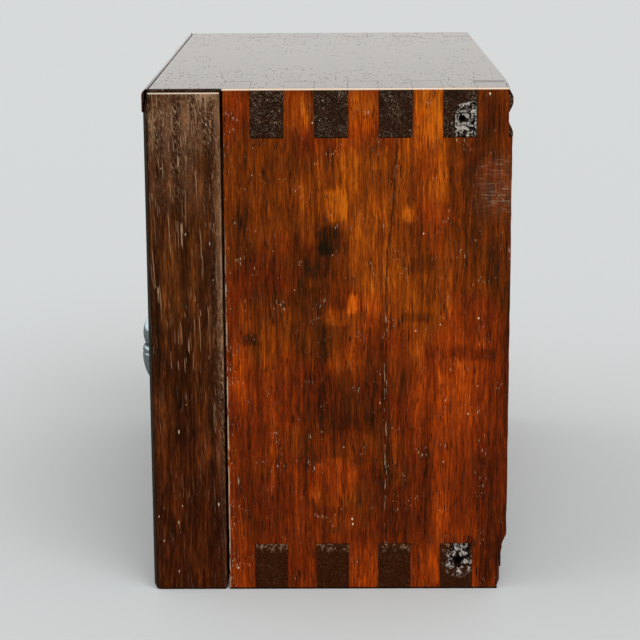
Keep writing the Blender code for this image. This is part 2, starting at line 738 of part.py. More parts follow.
def main():
    """Builds every piece of the box."""
    clear_scene()
    dark_wood = wood_or_metal("dark_wood", (0.055, 0.030, 0.020), 0.35)
    red_wood = wood_or_metal("red_wood", (0.300, 0.075, 0.020), 0.30)
    inner_wood = wood_or_metal("inner_wood", (0.160, 0.080, 0.040), 0.55)
    filler = wood_or_metal("filler", (0.300, 0.260, 0.210), 0.90)
    white_metal = wood_or_metal("white_metal", (0.720, 0.740, 0.760), 0.22, 1.0)
    make_top_board(dark_wood)
    make_bottom_board(dark_wood)
    make_back(inner_wood, filler)
    make_inside(inner_wood)
    for side in (1, -1):
        make_side_board(side, red_wood)
        make_front_post(side, dark_wood)
        door = make_stiles(side, dark_wood) + make_rails(side, dark_wood)
        door += make_pivot_pins(side, white_metal) + make_plate_tacks(side, white_metal)
        door += [make_panel(side, red_wood), make_lock_plate(side, white_metal)]
        door += [make_eye_pin(side, white_metal), make_drop_pull(side, white_metal)]
        hang_door(side, door)


main()
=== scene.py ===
"""Looks of a small finger-jointed cabinet box with carved doors.

The file is laid out as an add-on and run as a script.  Each operator builds one piece, or a group of
like pieces, as a surface worked out with numpy, in place of the plain solid of the same name.  Metres,
+Z up, the front faces -Y, and every piece sits at the origin with its place in its mesh.
"""

import json

import bpy
import numpy as np
from bpy.props import FloatProperty, FloatVectorProperty, IntProperty, PointerProperty
from mathutils import Matrix, Vector

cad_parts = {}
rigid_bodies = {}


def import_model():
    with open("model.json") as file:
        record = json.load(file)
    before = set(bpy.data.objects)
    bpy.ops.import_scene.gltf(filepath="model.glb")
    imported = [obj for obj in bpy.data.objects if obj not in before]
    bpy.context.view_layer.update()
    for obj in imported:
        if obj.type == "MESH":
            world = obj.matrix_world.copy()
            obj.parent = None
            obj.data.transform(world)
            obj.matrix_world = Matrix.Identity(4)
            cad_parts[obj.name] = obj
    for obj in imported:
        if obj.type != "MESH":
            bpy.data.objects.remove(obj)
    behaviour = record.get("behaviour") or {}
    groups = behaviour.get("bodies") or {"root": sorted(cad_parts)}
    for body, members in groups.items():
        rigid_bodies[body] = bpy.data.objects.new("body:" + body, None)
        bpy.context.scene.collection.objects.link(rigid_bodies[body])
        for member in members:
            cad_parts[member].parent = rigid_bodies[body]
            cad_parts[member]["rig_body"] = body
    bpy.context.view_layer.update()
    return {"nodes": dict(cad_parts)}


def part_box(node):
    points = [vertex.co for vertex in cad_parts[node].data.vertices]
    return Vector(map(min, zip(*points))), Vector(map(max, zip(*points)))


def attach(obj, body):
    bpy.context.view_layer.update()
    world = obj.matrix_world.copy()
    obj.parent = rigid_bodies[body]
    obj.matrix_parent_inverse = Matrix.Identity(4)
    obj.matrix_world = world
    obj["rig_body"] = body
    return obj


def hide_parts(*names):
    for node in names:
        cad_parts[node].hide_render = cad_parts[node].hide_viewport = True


bl_info = {
    "name": "Carved cabinet box",
    "version": (1, 0, 0),
    "blender": (4, 5, 0),
    "location": "View3D > Sidebar > Box",
    "description": "Dresses a small cabinet box in worn wood, carving and white metal",
    "category": "Object",
}

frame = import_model()

MM = 0.001
SIDES = {1: "right", -1: "left"}
# Gap between pieces that are put together, and on each side of a finger
GAP = 0.0003
JOINT = 0.00005
# Grid lines beside an edge, as shares of its rounding, and the least distance between two lines
EDGE_STEPS = np.array([0.05, 0.2, 0.45, 0.75, 1.0, 1.6, 2.8])
LINE_GAP = 0.03 * MM
# Least rounding that grid lines follow, rounding of notches unless given, and reach of wear from an edge
LEAST_ROUND = 0.1 * MM
NOTCH_ROUND = 0.12 * MM
EDGE_FADE = 0.0012
# Lattice of the soft noise, and the colour sockets of a Mix node
NOISE_CELLS = 32
MIX_A, MIX_B, MIX_RESULT = 6, 7, 2
# Depth of the painted highlight along the arris round the top of the ends
ARRIS_DEPTH = 0.6 * MM


# Places read from the solids

def box(node):
    """Lowest and highest corner of a solid, as arrays."""
    low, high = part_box(node)
    return np.array(low), np.array(high)


TOP_LOW, TOP_HIGH = box("top_board")
SIDE_LOW, SIDE_HIGH = box("right_side_board")
POST_LOW, POST_HIGH = box("right_front_post")
BACK_LOW, BACK_HIGH = box("back_panel")
DOOR_OUTER = box("right_hinge_stile")[1][0]
END, INNER = SIDE_HIGH[0], SIDE_LOW[0]
FRONT, SIDE_FRONT, BACK = POST_LOW[1], SIDE_LOW[1], SIDE_HIGH[1]
HEIGHT, UNDER_TOP = TOP_HIGH[2], TOP_LOW[2]
FLOOR = box("bottom_board")[1][2]
LAP_UNDER = POST_HIGH[2] + GAP
PLUG_MIDDLE = (BACK_LOW[1] + BACK_HIGH[1]) / 2
TONGUE_FOOT, TONGUE_HEAD = FLOOR + 4 * MM, UNDER_TOP - 4 * MM
GROOVE_FRONT, GROOVE_BACK = BACK_LOW[1] - GAP, BACK_HIGH[1] + GAP


def finger_spans():
    """Front and back of each finger of a side board, read from the points along its head."""
    mesh = frame["nodes"]["right_side_board"].data
    points = np.empty(len(mesh.vertices) * 3, np.float32)
    mesh.vertices.foreach_get("co", points)
    points = points.reshape(-1, 3).astype(float)
    head = points[points[:, 2] > HEIGHT - MM / 10]
    return [(a, b) for a, b in np.unique(np.round(head[:, 1], 5)).reshape(-1, 2)]


# Fingers of the side boards, their notches in the top and bottom, and those with the first widened for a post
FINGERS = finger_spans()
SOCKETS = [(a - JOINT, b + JOINT) for a, b in FINGERS]
POST_SOCKETS = [(-1.0, SOCKETS[0][1])] + SOCKETS[1:]


# Settings

def a_length(name, description, default):
    """A setting in metres, its default given in millimetres."""
    return FloatProperty(name=name, description=description, default=default * MM, unit="LENGTH", precision=5)


def a_colour(name, description, *default):
    """A setting that holds a linear colour."""
    return FloatVectorProperty(name=name, description=description, default=default, size=3, subtype="COLOR")


def an_angle(name, description, default):
    """A setting in radians."""
    return FloatProperty(name=name, description=description, default=default, subtype="ANGLE",
                         unit="ROTATION")


def a_number(name, description, default):
    """A setting without a unit."""
    return FloatProperty(name=name, description=description, default=default)


class BoxEdgeSettings(bpy.types.PropertyGroup):
    """Roundings of the boards' edges."""

    board: a_length("Board arris", "Rounding of the case's outer edges", 0.9)
    foot: a_length("Foot arris", "Rounding of the edges that stand on the floor", 0.2)
    joint: a_length("Joint arris", "Rounding along the finger joints", 0.08)
    post: a_length("Post arris", "Rounding of the front posts", 1.3)
    post_foot: a_length("Post foot", "Rounding of a post's front corner at the floor", 2.8)
    door: a_length("Door arris", "Rounding of the door frames' edges", 0.6)
    nose: a_length("Nose height", "Height of the rounded nose along the top's front", 8.5)
    nose_thick: a_length("Nose thickness", "Thickness of the nose before a post's head", 2.2)
    nose_round: a_length("Nose rounding", "Rounding of the nose's upper edge", 2.4)


class BoxCarvingSettings(bpy.types.PropertyGroup):
    """Sizes of the carving on the door panels."""

    rise: a_length("Rise", "Height of the carving over its ground", 2.3)
    ground: a_length("Ground", "How far the ground is cut below the raised field", 0.9)
    border: a_length("Border", "Width of the flat border round the ground", 1.9)
    rosette: a_length("Rosette", "Radius of the flower in the middle", 14.0)
    petals: IntProperty(name="Petals", description="Petals in each ring of the flower", default=8, min=4)
    stem: a_length("Stem", "Half the width of the scrolling stems", 1.15)


class BoxColourSettings(bpy.types.PropertyGroup):
    """Colours of the woods, the filler and the metal."""

    bright: a_colour("Bright streak", "Palest streaks of the orange wood", 0.620, 0.096, 0.0030)
    bare: a_colour("Bare wood", "Orange wood where the varnish is worn thin", 0.310, 0.0390, 0.0012)
    amber: a_colour("Amber", "Orange wood under whole varnish", 0.155, 0.0183, 0.0009)
    varnish: a_colour("Varnish", "Brown varnish that has gathered", 0.068, 0.0092, 0.0008)
    # The stain colour also paints shade along the foot, over the posts' front and in the carving's ground
    stain_and_shade: a_colour("Stain", "Dark stains and pores", 0.013, 0.0042, 0.0012)
    dark: a_colour("Dark wood", "Top, bottom and their end grain", 0.015, 0.0050, 0.0022)
    dark_light: a_colour("Dark wood, light", "Lighter grain of the dark wood", 0.034, 0.0100, 0.0035)
    post: a_colour("Post wood", "Front posts and door frames", 0.044, 0.0105, 0.0015)
    post_light: a_colour("Post wood, light", "Red-brown grain of the posts", 0.105, 0.0270, 0.0042)
    # Painted reflection: a grey sheen painted along the rounded front arris of the posts' ends
    edge_reflection: a_colour("Post polish", "Grey polish on the posts' front edges", 0.031, 0.030, 0.024)
    scratch: a_colour("Scratches", "Pale scratches in the posts", 0.42, 0.250, 0.140)
    # Painted highlight: the arris colour paints the highlight along the top arris of the ends and of the
    # posts' heads
    arris: a_colour("Worn arris", "Bare edge round the top of the ends", 0.74, 0.60, 0.46)
    dust: a_colour("Dust", "Dust and pale scratches", 0.80, 0.63, 0.42)
    inner: a_colour("Inner wood", "Unvarnished wood inside and behind", 0.17, 0.072, 0.028)
    filler: a_colour("Filler", "Crumbling filler in the groove ends", 0.46, 0.42, 0.37)
    metal: a_colour("White metal", "Polished plates, eyes and drops", 0.58, 0.71, 0.80)
    floor: a_colour("Floor", "Plain floor", 0.605, 0.630, 0.640)


class BoxStageSettings(bpy.types.PropertyGroup):
    """Camera and lights."""

    camera: FloatVectorProperty(name="Camera", description="Place of the camera", size=3,
                                default=(0.7842, 0.00156, 0.26818), subtype="TRANSLATION", unit="LENGTH")
    pitch: an_angle("Pitch", "Downward tilt", 0.2072)
    yaw: an_angle("Yaw", "Turn about the vertical", -0.0070)
    roll: an_angle("Roll", "Turn about the line of sight", -0.0054)
    lens: FloatProperty(name="Lens", description="Focal length", default=105.63, subtype="DISTANCE_CAMERA")
    rise: a_number("Shift", "Vertical shift of the frame", -0.094)
    key: a_number("Key light", "Strength of the wide soft light above", 1.5)
    fill: a_number("Fill light", "Strength of the wide soft light in front", 0.55)
    sky: a_number("Surround", "Strength of the pale surround", 0.62)
    gloss: a_number("Gloss", "Brightness of the surround in reflections", 0.99)


# Surfaces

def smooth_step(value):
    """0 below 0, 1 above 1, and 3t^2 - 2t^3 between."""
    t = np.clip(value, 0, 1)
    return t * t * (3 - 2 * t)


def soft_noise(points, size, seed):
    """Smooth values from -1 to 1: random numbers on a cubic lattice of that size, blended between corners."""
    table = np.random.default_rng(seed).uniform(-1, 1, (NOISE_CELLS,) * 3)
    place = np.asarray(points, float) / size
    cell = np.floor(place).astype(int)
    part = smooth_step(place - cell)
    total = np.zeros(len(place))
    for corner in np.ndindex(2, 2, 2):
        index = (cell + corner) % NOISE_CELLS
        total += np.prod(np.where(corner, part, 1 - part), axis=1) * table[tuple(index.T)]
    return total


def grid_lines(marks, rounds, spacing):
    """Every mark, lines beside it that follow its rounding, and even lines between them."""
    order = np.argsort(marks)
    marks, rounds = np.asarray(marks, float)[order], np.asarray(rounds, float)[order]
    beside = np.outer(rounds, np.concatenate([EDGE_STEPS, -EDGE_STEPS])) + marks[:, None]
    lines = np.sort(beside[(beside > marks[0]) & (beside < marks[-1])])
    lines = lines[np.abs(lines[:, None] - marks).min(1) > LINE_GAP]
    lines = lines[np.diff(lines, prepend=-1.0) > LINE_GAP]
    lines = np.unique(np.round(np.concatenate([marks, lines]), 7))
    parts = np.maximum(1, np.ceil(np.diff(lines) / spacing)).astype(int)
    runs = [np.linspace(a, b, n, endpoint=False) for a, b, n in zip(lines, lines[1:], parts)]
    return np.concatenate(runs + [lines[-1:]])


def span_distance(u, v, start, end):
    """Distance from each grid point to a straight edge that runs along one of the axes."""
    low, high = np.minimum(start, end), np.maximum(start, end)
    du = np.maximum(np.maximum(low[0] - u, u - high[0]), 0)
    dv = np.maximum(np.maximum(low[1] - v, v - high[1]), 0)
    return np.hypot(du, dv)


def rectangle(low, high):
    """Corners of a rectangle in order, from its lowest and highest."""
    return [(low[0], low[1]), (high[0], low[1]), (high[0], high[1]), (low[0], high[1])]


def round_corners(u, v, low, high, radii):
    """Draws the grid in at the four outer corners: inside the square of side R at a corner, a point at
    (p, q) from the arc's centre moves to (p, q) * max(p, q) / sqrt(p^2 + q^2)."""
    u, v = u.copy(), v.copy()
    inward = ((1, 1), (-1, 1), (-1, -1), (1, -1))
    for (cu, cv), (su, sv), radius in zip(rectangle(low, high), inward, radii):
        p = radius - (u - cu) * su
        q = radius - (v - cv) * sv
        near = (p > 0) & (q > 0) & (p <= radius + 1e-9) & (q <= radius + 1e-9)
        scale = np.maximum(p, q) / np.maximum(np.hypot(p, q), 1e-12)
        u = np.where(near, cu + su * (radius - p * scale), u)
        v = np.where(near, cv + sv * (radius - q * scale), v)
    return u, v


def slab(outline, low, high, axes, ease=(0.0, 0.0), tight=None, corners=None, spacing=(8 * MM, 8 * MM),
         rows=2, relief=(None, None), marks=((), ()), sides=(1.0, 1.0, 1.0, 1.0)):
    """A board from a square-cornered outline on its first two axes and two faces on the third.

    Both faces are grids over the outline.  A point at distance d from an edge of rounding r sinks by
    r - sqrt(r^2 - (r - d)^2), a quarter round, and by relief(u, v) where a face has one.  Edges on the
    outline's outer box have the face's ease as r, times a share for each of the box's four sides, and
    those of its notches have tight.  Walls in even rows join the faces.  Returns points, faces and how
    close each point is to a worn edge.
    """
    start = np.asarray(outline, float)
    end = np.roll(start, -1, axis=0)
    box_low, box_high = start.min(0), start.max(0)
    level = np.isclose(start, end)
    at_low, at_high = level & np.isclose(start, box_low), level & np.isclose(start, box_high)
    on_side = np.stack([at_low[:, 0], at_high[:, 0], at_low[:, 1], at_high[:, 1]], axis=1)
    outer = on_side.any(1)
    shares = (on_side * np.asarray(sides)).sum(1)
    tight = min(max(ease), NOTCH_ROUND) if tight is None else tight
    lines = []
    for axis in (0, 1):
        edge = level[:, axis]
        rounds = np.where(outer[edge], max(max(ease), LEAST_ROUND), max(tight, LEAST_ROUND))
        extra = np.asarray(marks[axis], float)
        values = np.concatenate([start[edge, axis], extra])
        lines.append(grid_lines(values, np.concatenate([rounds, np.zeros(len(extra))]), spacing[axis]))
    u, v = np.meshgrid(*lines, indexing="ij")
    mid_u, mid_v = np.meshgrid(*[(line[1:] + line[:-1]) / 2 for line in lines], indexing="ij")
    inside = np.zeros(mid_u.shape, bool)
    for a, b in zip(start[level[:, 0]], end[level[:, 0]]):
        between = (mid_v > min(a[1], b[1])) & (mid_v < max(a[1], b[1]))
        inside ^= between & (mid_u < a[0])
    sink = [np.zeros(u.shape), np.zeros(u.shape)]
    nearest = np.full(u.shape, 1.0)
    for a, b, on_box, share in zip(start, end, outer, shares):
        away = span_distance(u, v, a, b)
        if on_box:
            nearest = np.minimum(nearest, away / max(share, 0.1))
        for face in (0, 1):
            r = ease[face] * share if on_box else min(tight, ease[face])
            drop = r - np.sqrt(np.maximum(r * r - (r - np.minimum(away, r)) ** 2, 0))
            sink[face] = np.maximum(sink[face], drop)
    for face in (0, 1):
        if relief[face] is not None:
            sink[face] = sink[face] + relief[face](u, v)
    if corners is not None:
        u, v = round_corners(u, v, box_low, box_high, corners)
    padded = np.pad(inside, 1)
    around = np.stack([padded[1:, 1:], padded[:-1, 1:], padded[1:, :-1], padded[:-1, :-1]])
    used, rim = around.any(0), around.any(0) & ~around.all(0)
    layers, points, edge, count = [], [], [], 0
    for step in np.linspace(0, 1, rows + 2):
        keep = used if step in (0, 1) else rim
        number = np.full(u.shape, -1)
        number[keep] = count + np.arange(keep.sum())
        count += keep.sum()
        layers.append(number)
        w = (high - sink[1]) * (1 - step) + (low + sink[0]) * step
        points.append(np.stack([u[keep], v[keep], w[keep]], axis=1))
        if step in (0, 1):
            edge.append(np.exp(-nearest[keep] / EDGE_FADE) * (ease[1 if step == 0 else 0] > 0))
        else:
            far = np.minimum(step if ease[1] else 1.0, 1 - step if ease[0] else 1.0) * (high - low)
            edge.append(np.full(keep.sum(), np.exp(-far / EDGE_FADE)))
    points = np.concatenate(points)
    place = np.empty_like(points)
    place[:, ["XYZ".index(letter) for letter in axes]] = points
    return place, slab_faces(layers, inside, padded), np.concatenate(edge)


def slab_faces(layers, inside, padded):
    """Quads of a slab: its two faces, and a strip between each pair of layers along the outline."""
    top, bottom = layers[0], layers[-1]
    i, j = np.nonzero(inside)
    found = [np.stack([top[i, j], top[i + 1, j], top[i + 1, j + 1], top[i, j + 1]], axis=1),
             np.stack([bottom[i, j], bottom[i, j + 1], bottom[i + 1, j + 1], bottom[i + 1, j]], axis=1)]
    before, after = padded[:-1, 1:-1], padded[1:, 1:-1]
    i, j = np.nonzero(before != after)
    turn = before[i, j]
    first, second = (i, np.where(turn, j + 1, j)), (i, np.where(turn, j, j + 1))
    below, above = padded[1:-1, :-1], padded[1:-1, 1:]
    k, m = np.nonzero(below != above)
    turn = above[k, m]
    first = tuple(np.concatenate(pair) for pair in zip(first, (np.where(turn, k + 1, k), m)))
    second = tuple(np.concatenate(pair) for pair in zip(second, (np.where(turn, k, k + 1), m)))
    for upper, lower in zip(layers, layers[1:]):
        found.append(np.stack([upper[first], upper[second], lower[second], lower[first]], axis=1))
    return [np.concatenate(found)]


def filled(node, axes, **options):
    """A slab that fills a solid's box, its outline on the first two of the axes."""
    low, high = (corner[["XYZ".index(letter) for letter in axes]] for corner in box(node))
    return slab(rectangle(low, high), low[2], high[2], axes, **options)


def layer(outline, low, high, tight, rows=7, **options):
    """A level layer of the top or bottom board."""
    return slab(outline, low, high, "XYZ", tight=tight, spacing=(6 * MM, 1.5 * MM), rows=rows, **options)


def upright(outline, start, stop, side, ease=(0.0, 0.0), **options):
    """A slab with its outline in Y and Z, between two distances from the box's middle on one side; ease
    is for its inner and its outer face."""
    low, high = sorted((side * start, side * stop))
    return slab(outline, low, high, "YZX", ease[::side], **options)


def join(*shells):
    """Several closed shells as one set of points, faces and edge values."""
    points, faces, edges, count = [], [], [], 0
    for place, groups, edge in shells:
        points.append(place)
        edges.append(edge)
        faces += [group + count for group in groups]
        count += len(place)
    return np.concatenate(points), faces, np.concatenate(edges)


def carried(profile, places, insets, axis):
    """A closed profile carried along an axis, drawn in by an inset at each place, with flat ends.

    The profile's two columns are the other two axes in order; a point moves in along the mean normal of
    its two sides.
    """
    profile = np.asarray(profile, float)
    ahead = np.roll(profile, -1, axis=0) - profile
    behind = profile - np.roll(profile, 1, axis=0)
    normal = np.stack([ahead[:, 1] + behind[:, 1], -ahead[:, 0] - behind[:, 0]], axis=1)
    normal /= np.maximum(np.linalg.norm(normal, axis=1, keepdims=True), 1e-12)
    normal *= np.sign((profile[:, 0] * ahead[:, 1] - profile[:, 1] * ahead[:, 0]).sum())
    rings = profile[None] - np.asarray(insets)[:, None, None] * normal[None]
    points = np.empty((len(places), len(profile), 3))
    along = "XYZ".index(axis)
    points[..., along] = np.asarray(places)[:, None]
    points[..., [index for index in range(3) if index != along]] = rings
    return tube(points)


def tube(points):
    """A shell from rings of points: quads between rings that close on themselves, one face over each end."""
    count, size = points.shape[:2]
    grid = np.arange(count * size).reshape(count, size)
    after = np.roll(grid, -1, axis=1)
    quads = np.stack([grid[:-1], after[:-1], after[1:], grid[1:]], axis=-1).reshape(-1, 4)
    return oriented(points.reshape(-1, 3), [quads, grid[:1, ::-1].copy(), grid[-1:].copy()])


def turned(profile, sides, centre, axis):
    """A turned form: (distance along the axis, radius) pairs carried round the axis as circles."""
    profile = np.asarray(profile, float)
    turn = np.linspace(0, 2 * np.pi, sides, endpoint=False)
    along = Vector(axis).normalized()
    across = along.orthogonal().normalized()
    ring = np.outer(np.cos(turn), across) + np.outer(np.sin(turn), along.cross(across))
    points = profile[:, :1, None] * np.array(along) + profile[:, 1:, None] * ring[None]
    return tube(points + np.asarray(centre, float))


def wire_ring(centre, ring_r, wire_r, axis, around=48, sides=16):
    """A ring of wire: the point at angles (a, b) is centre + (R + r cos b) e(a) + r sin b axis."""
    a, b = np.meshgrid(np.linspace(0, 2 * np.pi, around, endpoint=False),
                       np.linspace(0, 2 * np.pi, sides, endpoint=False), indexing="ij")
    along = np.array(axis, float)
    across = np.array(Vector(axis).orthogonal().normalized())
    out = np.cos(a)[..., None] * across + np.sin(a)[..., None] * np.cross(along, across)
    points = centre + (ring_r + wire_r * np.cos(b))[..., None] * out + (wire_r * np.sin(b))[..., None] * along
    grid = np.arange(around * sides).reshape(around, sides)
    next_a, next_b = np.roll(grid, -1, axis=0), np.roll(grid, -1, axis=1)
    quads = np.stack([grid, next_a, np.roll(next_a, -1, axis=1), next_b], axis=-1).reshape(-1, 4)
    return oriented(points.reshape(-1, 3), [quads])


def oriented(points, faces):
    """Turns a closed shell's faces outwards, going by the sign of its volume."""
    volume = 0.0
    for group in faces:
        for k in range(1, group.shape[1] - 1):
            a, b, c = points[group[:, 0]], points[group[:, k]], points[group[:, k + 1]]
            volume += np.einsum("ij,ij->", a, np.cross(b, c))
    if volume < 0:
        faces = [group[:, ::-1].copy() for group in faces]
    return points, faces, np.zeros(len(points))


def dent(points, centre, reach, push):
    """Moves points near a centre by push, fading smoothly to nothing at the reach along each axis; reach
    and push in mm."""
    away = np.linalg.norm((points - np.asarray(centre)) / (np.asarray(reach) * MM), axis=1)
    return points + smooth_step(1 - away)[:, None] * (np.asarray(push) * MM)


def arc_points(centre, radius, start, end, steps=8):
    """Points along a circular arc, angles in degrees."""
    turn = np.radians(np.linspace(start, end, steps + 1))
    return [(centre[0] + radius * np.cos(t), centre[1] + radius * np.sin(t)) for t in turn]


def make_piece(node, shell, look, shades=None, sharp=40.0):
    """Puts a shell into the scene in place of a solid, on the solid's body, with the named finish."""
    points, faces = shell[:2]
    mesh = bpy.data.meshes.new(f"{node}_shaped")
    mesh.vertices.add(len(points))
    mesh.vertices.foreach_set("co", np.ascontiguousarray(points, np.float32).ravel())
    sizes = np.concatenate([np.full(len(group), group.shape[1]) for group in faces])
    index = np.concatenate([group.ravel() for group in faces]).astype(np.int32)
    mesh.loops.add(len(index))
    mesh.loops.foreach_set("vertex_index", index)
    mesh.polygons.add(len(sizes))
    mesh.polygons.foreach_set("loop_start", np.concatenate([[0], np.cumsum(sizes)[:-1]]).astype(np.int32))
    mesh.update(calc_edges=True)
    mesh.validate()
    mesh.shade_smooth()
    mesh.set_sharp_from_angle(angle=np.radians(sharp))
    for name, values in (shades or {}).items():
        stored = mesh.attributes.new(name, "FLOAT", "POINT")
        stored.data.foreach_set("value", np.asarray(values, np.float32))
    mesh.materials.append(finish(look))
    piece = bpy.data.objects.new(f"{node}_shaped", mesh)
    bpy.context.scene.collection.objects.link(piece)
    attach(piece, frame["nodes"][node]["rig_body"])
    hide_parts(node)


# Finishes

class Value:
    """An output of a finish's nodes.  Arithmetic on it adds nodes, and a | b is the greater of the two."""

    def __init__(self, finish, socket):
        self.finish, self.socket = finish, socket

    def __add__(self, other):
        return self.finish.math("ADD", self, other)

    def __sub__(self, other):
        return self.finish.math("SUBTRACT", self, other)

    def __mul__(self, other):
        return self.finish.math("MULTIPLY", self, other)

    def __pow__(self, other):
        return self.finish.math("POWER", self, other)

    def __or__(self, other):
        return self.finish.math("MAXIMUM", self, other)

    def __abs__(self):
        return self.finish.math("ABSOLUTE", self)

    def step(self, low, high, start=0.0, stop=1.0):
        """Smooth change from start to stop as the value goes from low to high."""
        inputs = {"Value": self, "From Min": low, "From Max": high, "To Min": start, "To Max": stop}
        return self.finish.node("MapRange", inputs, "Result", interpolation_type="SMOOTHSTEP")

    def output(self, name):
        """Another output of the same node."""
        return Value(self.finish, self.socket.node.outputs[name])


class Finish:
    """A material in the making, on object coordinates; its methods add nodes and return an output."""

    def __init__(self, name, grain="Z"):
        self.material = bpy.data.materials.new(name)
        self.material.use_nodes = True
        self.tree = self.material.node_tree
        self.grain = grain
        self.place = self.node("TexCoord", {}, "Object")
        self.x = self.node("SeparateXYZ", {"Vector": self.place}, "X")
        self.y, self.z = self.x.output("Y"), self.x.output("Z")

    def feed(self, socket, value):
        """Links an output to an input, or sets the input to a constant."""
        if isinstance(value, Value):
            self.tree.links.new(value.socket, socket)
        else:
            socket.default_value = (*value, 1.0)[:4] if socket.type == "RGBA" else value

    def node(self, kind, inputs, output, **settings):
        """Adds a node with its settings and inputs, and returns one output."""
        node = self.tree.nodes.new(f"ShaderNode{kind}")
        for name, setting in settings.items():
            setattr(node, name, setting)
        for name, value in inputs.items():
            self.feed(node.inputs[name], value)
        return Value(self, node.outputs[output])

    def wander(self, reach, scale):
        """Shifts the coordinates that follow by slow noise, up to about that reach, so that grain bends."""
        drift = self.node("TexNoise", {"Vector": self.place, "Scale": scale}, "Color")
        inputs = {0: drift, 1: (2 * reach,) * 3, 2: self.place}
        self.place = self.node("VectorMath", inputs, "Vector", operation="MULTIPLY_ADD")

    def mapped(self, along=None, axis=None, shift=(0.0, 0.0, 0.0), turn=(0.0, 0.0, 0.0)):
        """Coordinates turned, shifted, and scaled by that much along the grain or another axis."""
        if along is None:
            return self.place
        scale = tuple(1 / along if letter == (axis or self.grain) else 1.0 for letter in "XYZ")
        inputs = {"Vector": self.place, "Scale": scale, "Location": shift, "Rotation": turn}
        return self.node("Mapping", inputs, "Vector", vector_type="TEXTURE")

    def noise(self, scale, detail=2.0, roughness=0.5, distortion=0.0, **mapping):
        """Smooth noise from 0 to 1."""
        inputs = {"Vector": self.mapped(**mapping), "Scale": scale, "Detail": detail, "Roughness": roughness,
                  "Distortion": distortion}
        return self.node("TexNoise", inputs, "Fac")

    def specks(self, scale, radius, share, **mapping):
        """Round specks, one in some of the cells of a random lattice: 1 inside and 0 outside."""
        away = self.node("TexVoronoi", {"Vector": self.mapped(**mapping), "Scale": scale}, "Distance")
        pick = self.node("SeparateColor", {"Color": away.output("Color")}, "Red")
        chosen = pick.step(1 - share, 1 - share + 0.02)
        size = pick.output("Green").step(0.0, 1.0, 0.5 * radius, radius)
        return (size - away).step(0.0, radius * 0.4) * chosen

    def between(self, axis, low, high, start=0.0, stop=1.0, origin=0.0):
        """Smooth change from start to stop between two places on an axis, in mm from the origin."""
        return getattr(self, axis).step(origin + low * MM, origin + high * MM, start, stop)

    def math(self, operation, first, second=0.0):
        """Arithmetic on one or two values."""
        return self.node("Math", {0: first, 1: second}, "Value", operation=operation)

    def total(self, base, *parts):
        """Base plus share * (value - 0.5) for each (value, share)."""
        value = base - sum(share for _, share in parts) / 2
        for part, share in parts:
            value = part * share + value
        return value

    def mix(self, share, first, second):
        """Colour that goes from first to second as share goes from 0 to 1."""
        return self.node("Mix", {0: share, MIX_A: first, MIX_B: second}, MIX_RESULT, data_type="RGBA")

    def ramp(self, value, stops, tint=(1.0, 1.0, 1.0)):
        """Colour that runs through (place, colour) stops, each times a tint, as the value grows."""
        result = self.node("ValToRGB", {"Fac": value}, "Color")
        band = result.socket.node.color_ramp.elements
        for place, _ in stops[1:-1]:
            band.new(place)
        band[0].position, band[len(stops) - 1].position = stops[0][0], stops[-1][0]
        for element, (_, colour) in zip(band, stops):
            element.color = (*tinted(colour, *tint), 1.0)
        return result

    def shade(self, name):
        """A value stored on the piece's points."""
        return self.node("Attribute", {}, "Fac", attribute_name=name)

    def on_end(self, depth):
        """1 on the two end faces of the case, to that depth."""
        return abs(self.x).step(END - 1.4 * depth, END - 0.7 * depth)

    def arris_highlight(self, head):
        """1 along the edge between the ends and a level face at that height, where a highlight is painted."""
        return self.on_end(ARRIS_DEPTH) * self.z.step(head - 1.3 * ARRIS_DEPTH, head - 0.8 * ARRIS_DEPTH)

    def bump(self, height, distance, strength):
        """Fine relief from a height of 0 to 1, that many metres high."""
        return self.node("Bump", {"Strength": strength, "Distance": distance, "Height": height}, "Normal")

    def done(self, **inputs):
        """Feeds the shader's inputs, named with _ for spaces, and returns the material."""
        for name, value in inputs.items():
            self.feed(self.tree.nodes["Principled BSDF"].inputs[name.replace("_", " ")], value)
        return self.material


def tinted(colour, *tint):
    """A colour times a tint, which is one number or three."""
    return tuple(a * b for a, b in zip(colour, tint * 3))


def orange_stops(colours):
    """The orange wood's tones, from stained to bare."""
    return ((0.0, colours.stain_and_shade), (0.25, colours.varnish), (0.5, colours.amber), (0.75, colours.bare),
            (1.0, colours.bright))


